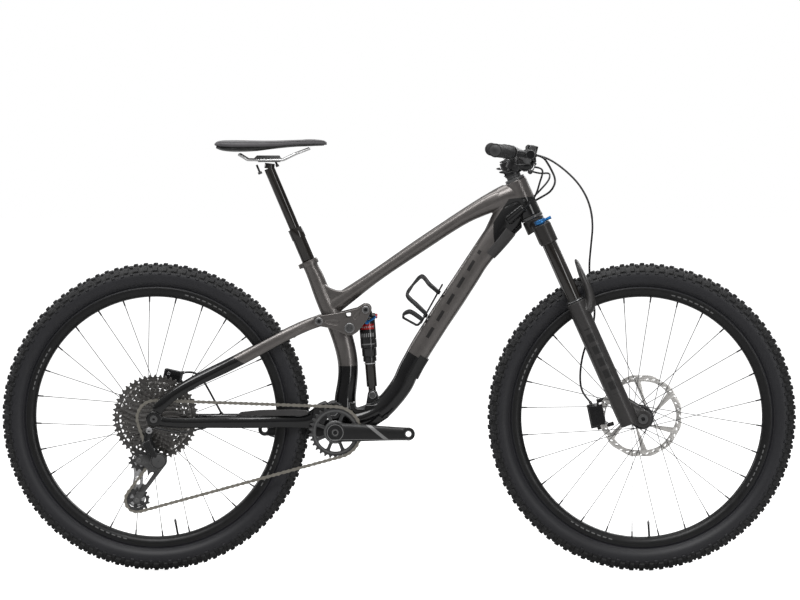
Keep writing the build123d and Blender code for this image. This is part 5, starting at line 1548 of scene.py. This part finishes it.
def bottle_cage():
    """Flat straps on a backbone, bolted to the down tube."""
    straps = [copy_of("bottle_cage")]
    for side in (-1, 1):
        upper = [(76, 5, 6), (80, 6, 26), (86, 32, 41), (94, 58, 26), (66, 66, 22), (38, 67, 26),
                 (28, 36, 41),
                 (20, 6, 26), (16, 5, 6)]
        lower = [(6, 5, 6), (4, 8, 28), (6, 40, 36), (-8, 52, 18), (-14, 48, 1)]
        straps.append(strap(f"strap_{side}", [cage_spot(a, u, side * y) for a, u, y in upper], 9, 2.6))
        straps.append(strap(f"foot_{side}", [cage_spot(a, u, side * y) for a, u, y in lower], 9, 2.6))
    place(melt("bottle_cage_frame", straps, 0.9, 4, 0.7), "frame", looks["plastic"], "plastic_black",
          "bottle_cage")
    bolts = [bolt(cage_spot(along, 6.6, 0), CAGE_OUT, 4.4, 2.2) for along in (16, 80)]
    place(join("bottle_cage_bolts", bolts), "frame", looks["steel"], "polished_steel")


bottle_cage()


# ---- saddle ---------------------------------------------------------------------------------
PAD = [(-440, 1026.5, 7, 96), (-434, 1027, 14, 112), (-420, 1026, 21, 136), (-390, 1025, 24, 146),
       (-345, 1025, 22.5, 130),
       (-300, 1026, 20.5, 93), (-255, 1029, 18, 57), (-210, 1031, 17, 42.5), (-182, 1030, 14, 36),
       (-173, 1028.5, 8, 24)]
SHELL = [(-436, 1021, 9, 94), (-420, 1018, 14, 124), (-390, 1016, 14.5, 135), (-345, 1017, 13.5, 121),
         (-300, 1021.5, 11.5, 84),
         (-255, 1025.5, 10.5, 50), (-210, 1027, 9.5, 36), (-180, 1027, 7, 25)]


def pad_ring(x, z, high, wide, count=48):
    """Crowned top with a shallow channel, full sides and a flat underside."""
    ring = []
    for k in range(count):
        turn = 2 * math.pi * k / count
        across = math.copysign(abs(math.sin(turn)) ** 0.8, math.sin(turn))
        lift = math.cos(turn)
        lift = lift**0.75 if lift > 0 else -abs(lift) ** 0.5 * 0.72
        facing_up = max(0.0, math.cos(turn))
        depth = 2.6 if -415 < x < -225 else 2.6 * 0.3
        channel = depth * math.exp(-((across * wide / 2 / 9) ** 2)) * facing_up
        ring.append(Vector((x, across * wide / 2, z + lift * high / 2 - channel)))
    return ring


def saddle_look():
    """Fine-grained grey cover, darker towards its lower edge."""
    look = Look("saddle_cover", Sheen_Weight=0.15)
    _, y, z = look.axes()
    base = shades(look, (0.105, 0.1, 0.106), 0.14, 30, 900)
    pores = look.fit(look.cells(1500), 0.0, 0.5, 0.0, 1.0)
    low = look.fit(z, 1.0195, 1.023, 1.0, 0.0)
    colour = look.mix(look.math("MULTIPLY", low, 0.75), base, (0.022, 0.022, 0.023))
    rough = look.fit(look.noise(120, 3), 0.3, 0.7, 0.5, 0.62)
    return look.done(colour, rough, pores, 0.22, 0.25)


def saddle():
    rows = spread(PAD, 6)
    rings = [pad_ring(*row) for row in rows]
    pad = object_of("saddle_cover_pad", *skin(rings), 60)
    place(pad, "seat", saddle_look(), "saddle_cover", "saddle_pad")
    count = len(rings[0])
    seams = []
    for index in (9, count - 9, 15, count - 15):
        line = [(*(ring[index] + (ring[index]
                                  - Vector((ring[index].x, 0, ring[index].z - 8))).normalized() * 0.1),
                 0.75)
                for ring in rings[4:-4:2]]
        seams.append(pipe("seam", line, 8, 2))
    place(join("saddle_seams", seams), "seat", looks["seal"], "saddle_cover")
    flat = [(x, 0, z, h, w) for x, z, h, w in SHELL]
    tray = limb("saddle_tray", flat, oval(2.6, 40), 6)
    place(tray, "seat", looks["shell"], "saddle_shell", "saddle_base")


saddle()


# ---- CAD nodes that stay, with worked edges -------------------------------------------------
def keep(node, look, edge=0.35):
    """A CAD node with its material, welded, with its edges broken."""
    piece = cad[node]
    piece.data.materials.clear()
    piece.data.materials.append(looks[look])
    piece.modifiers.new("weld", "WELD").merge_threshold = 2e-6
    if edge:
        bevel = piece.modifiers.new("edges", "BEVEL")
        bevel.width = edge * MM
        bevel.segments = 2
        bevel.limit_method = "ANGLE"
        bevel.angle_limit = math.radians(35)
        bevel.use_clamp_overlap = True
    shade(piece.data, 35)


KEPT = {
    "headset_cups": "machined", "seat_clamp": "grey", "seatpost_outer": "stanchion",
    "bottom_bracket": "machined", "pivot_axles": "machined", "dropper_stanchion": "stanchion",
    "saddle_clamp": "anodised", "saddle_rails": "silver", "fork_stanchions": "stanchion",
    "headset_spacers": "anodised", "fork_lever": "blue", "front_axle": "machined",
    "rear_axle": "machined", "rear_hub": "hub", "shock_shaft": "stanchion", "shock_lever": "blue",
}
for node_name, look_name in KEPT.items():
    keep(node_name, look_name)

bpy.context.view_layer.update()
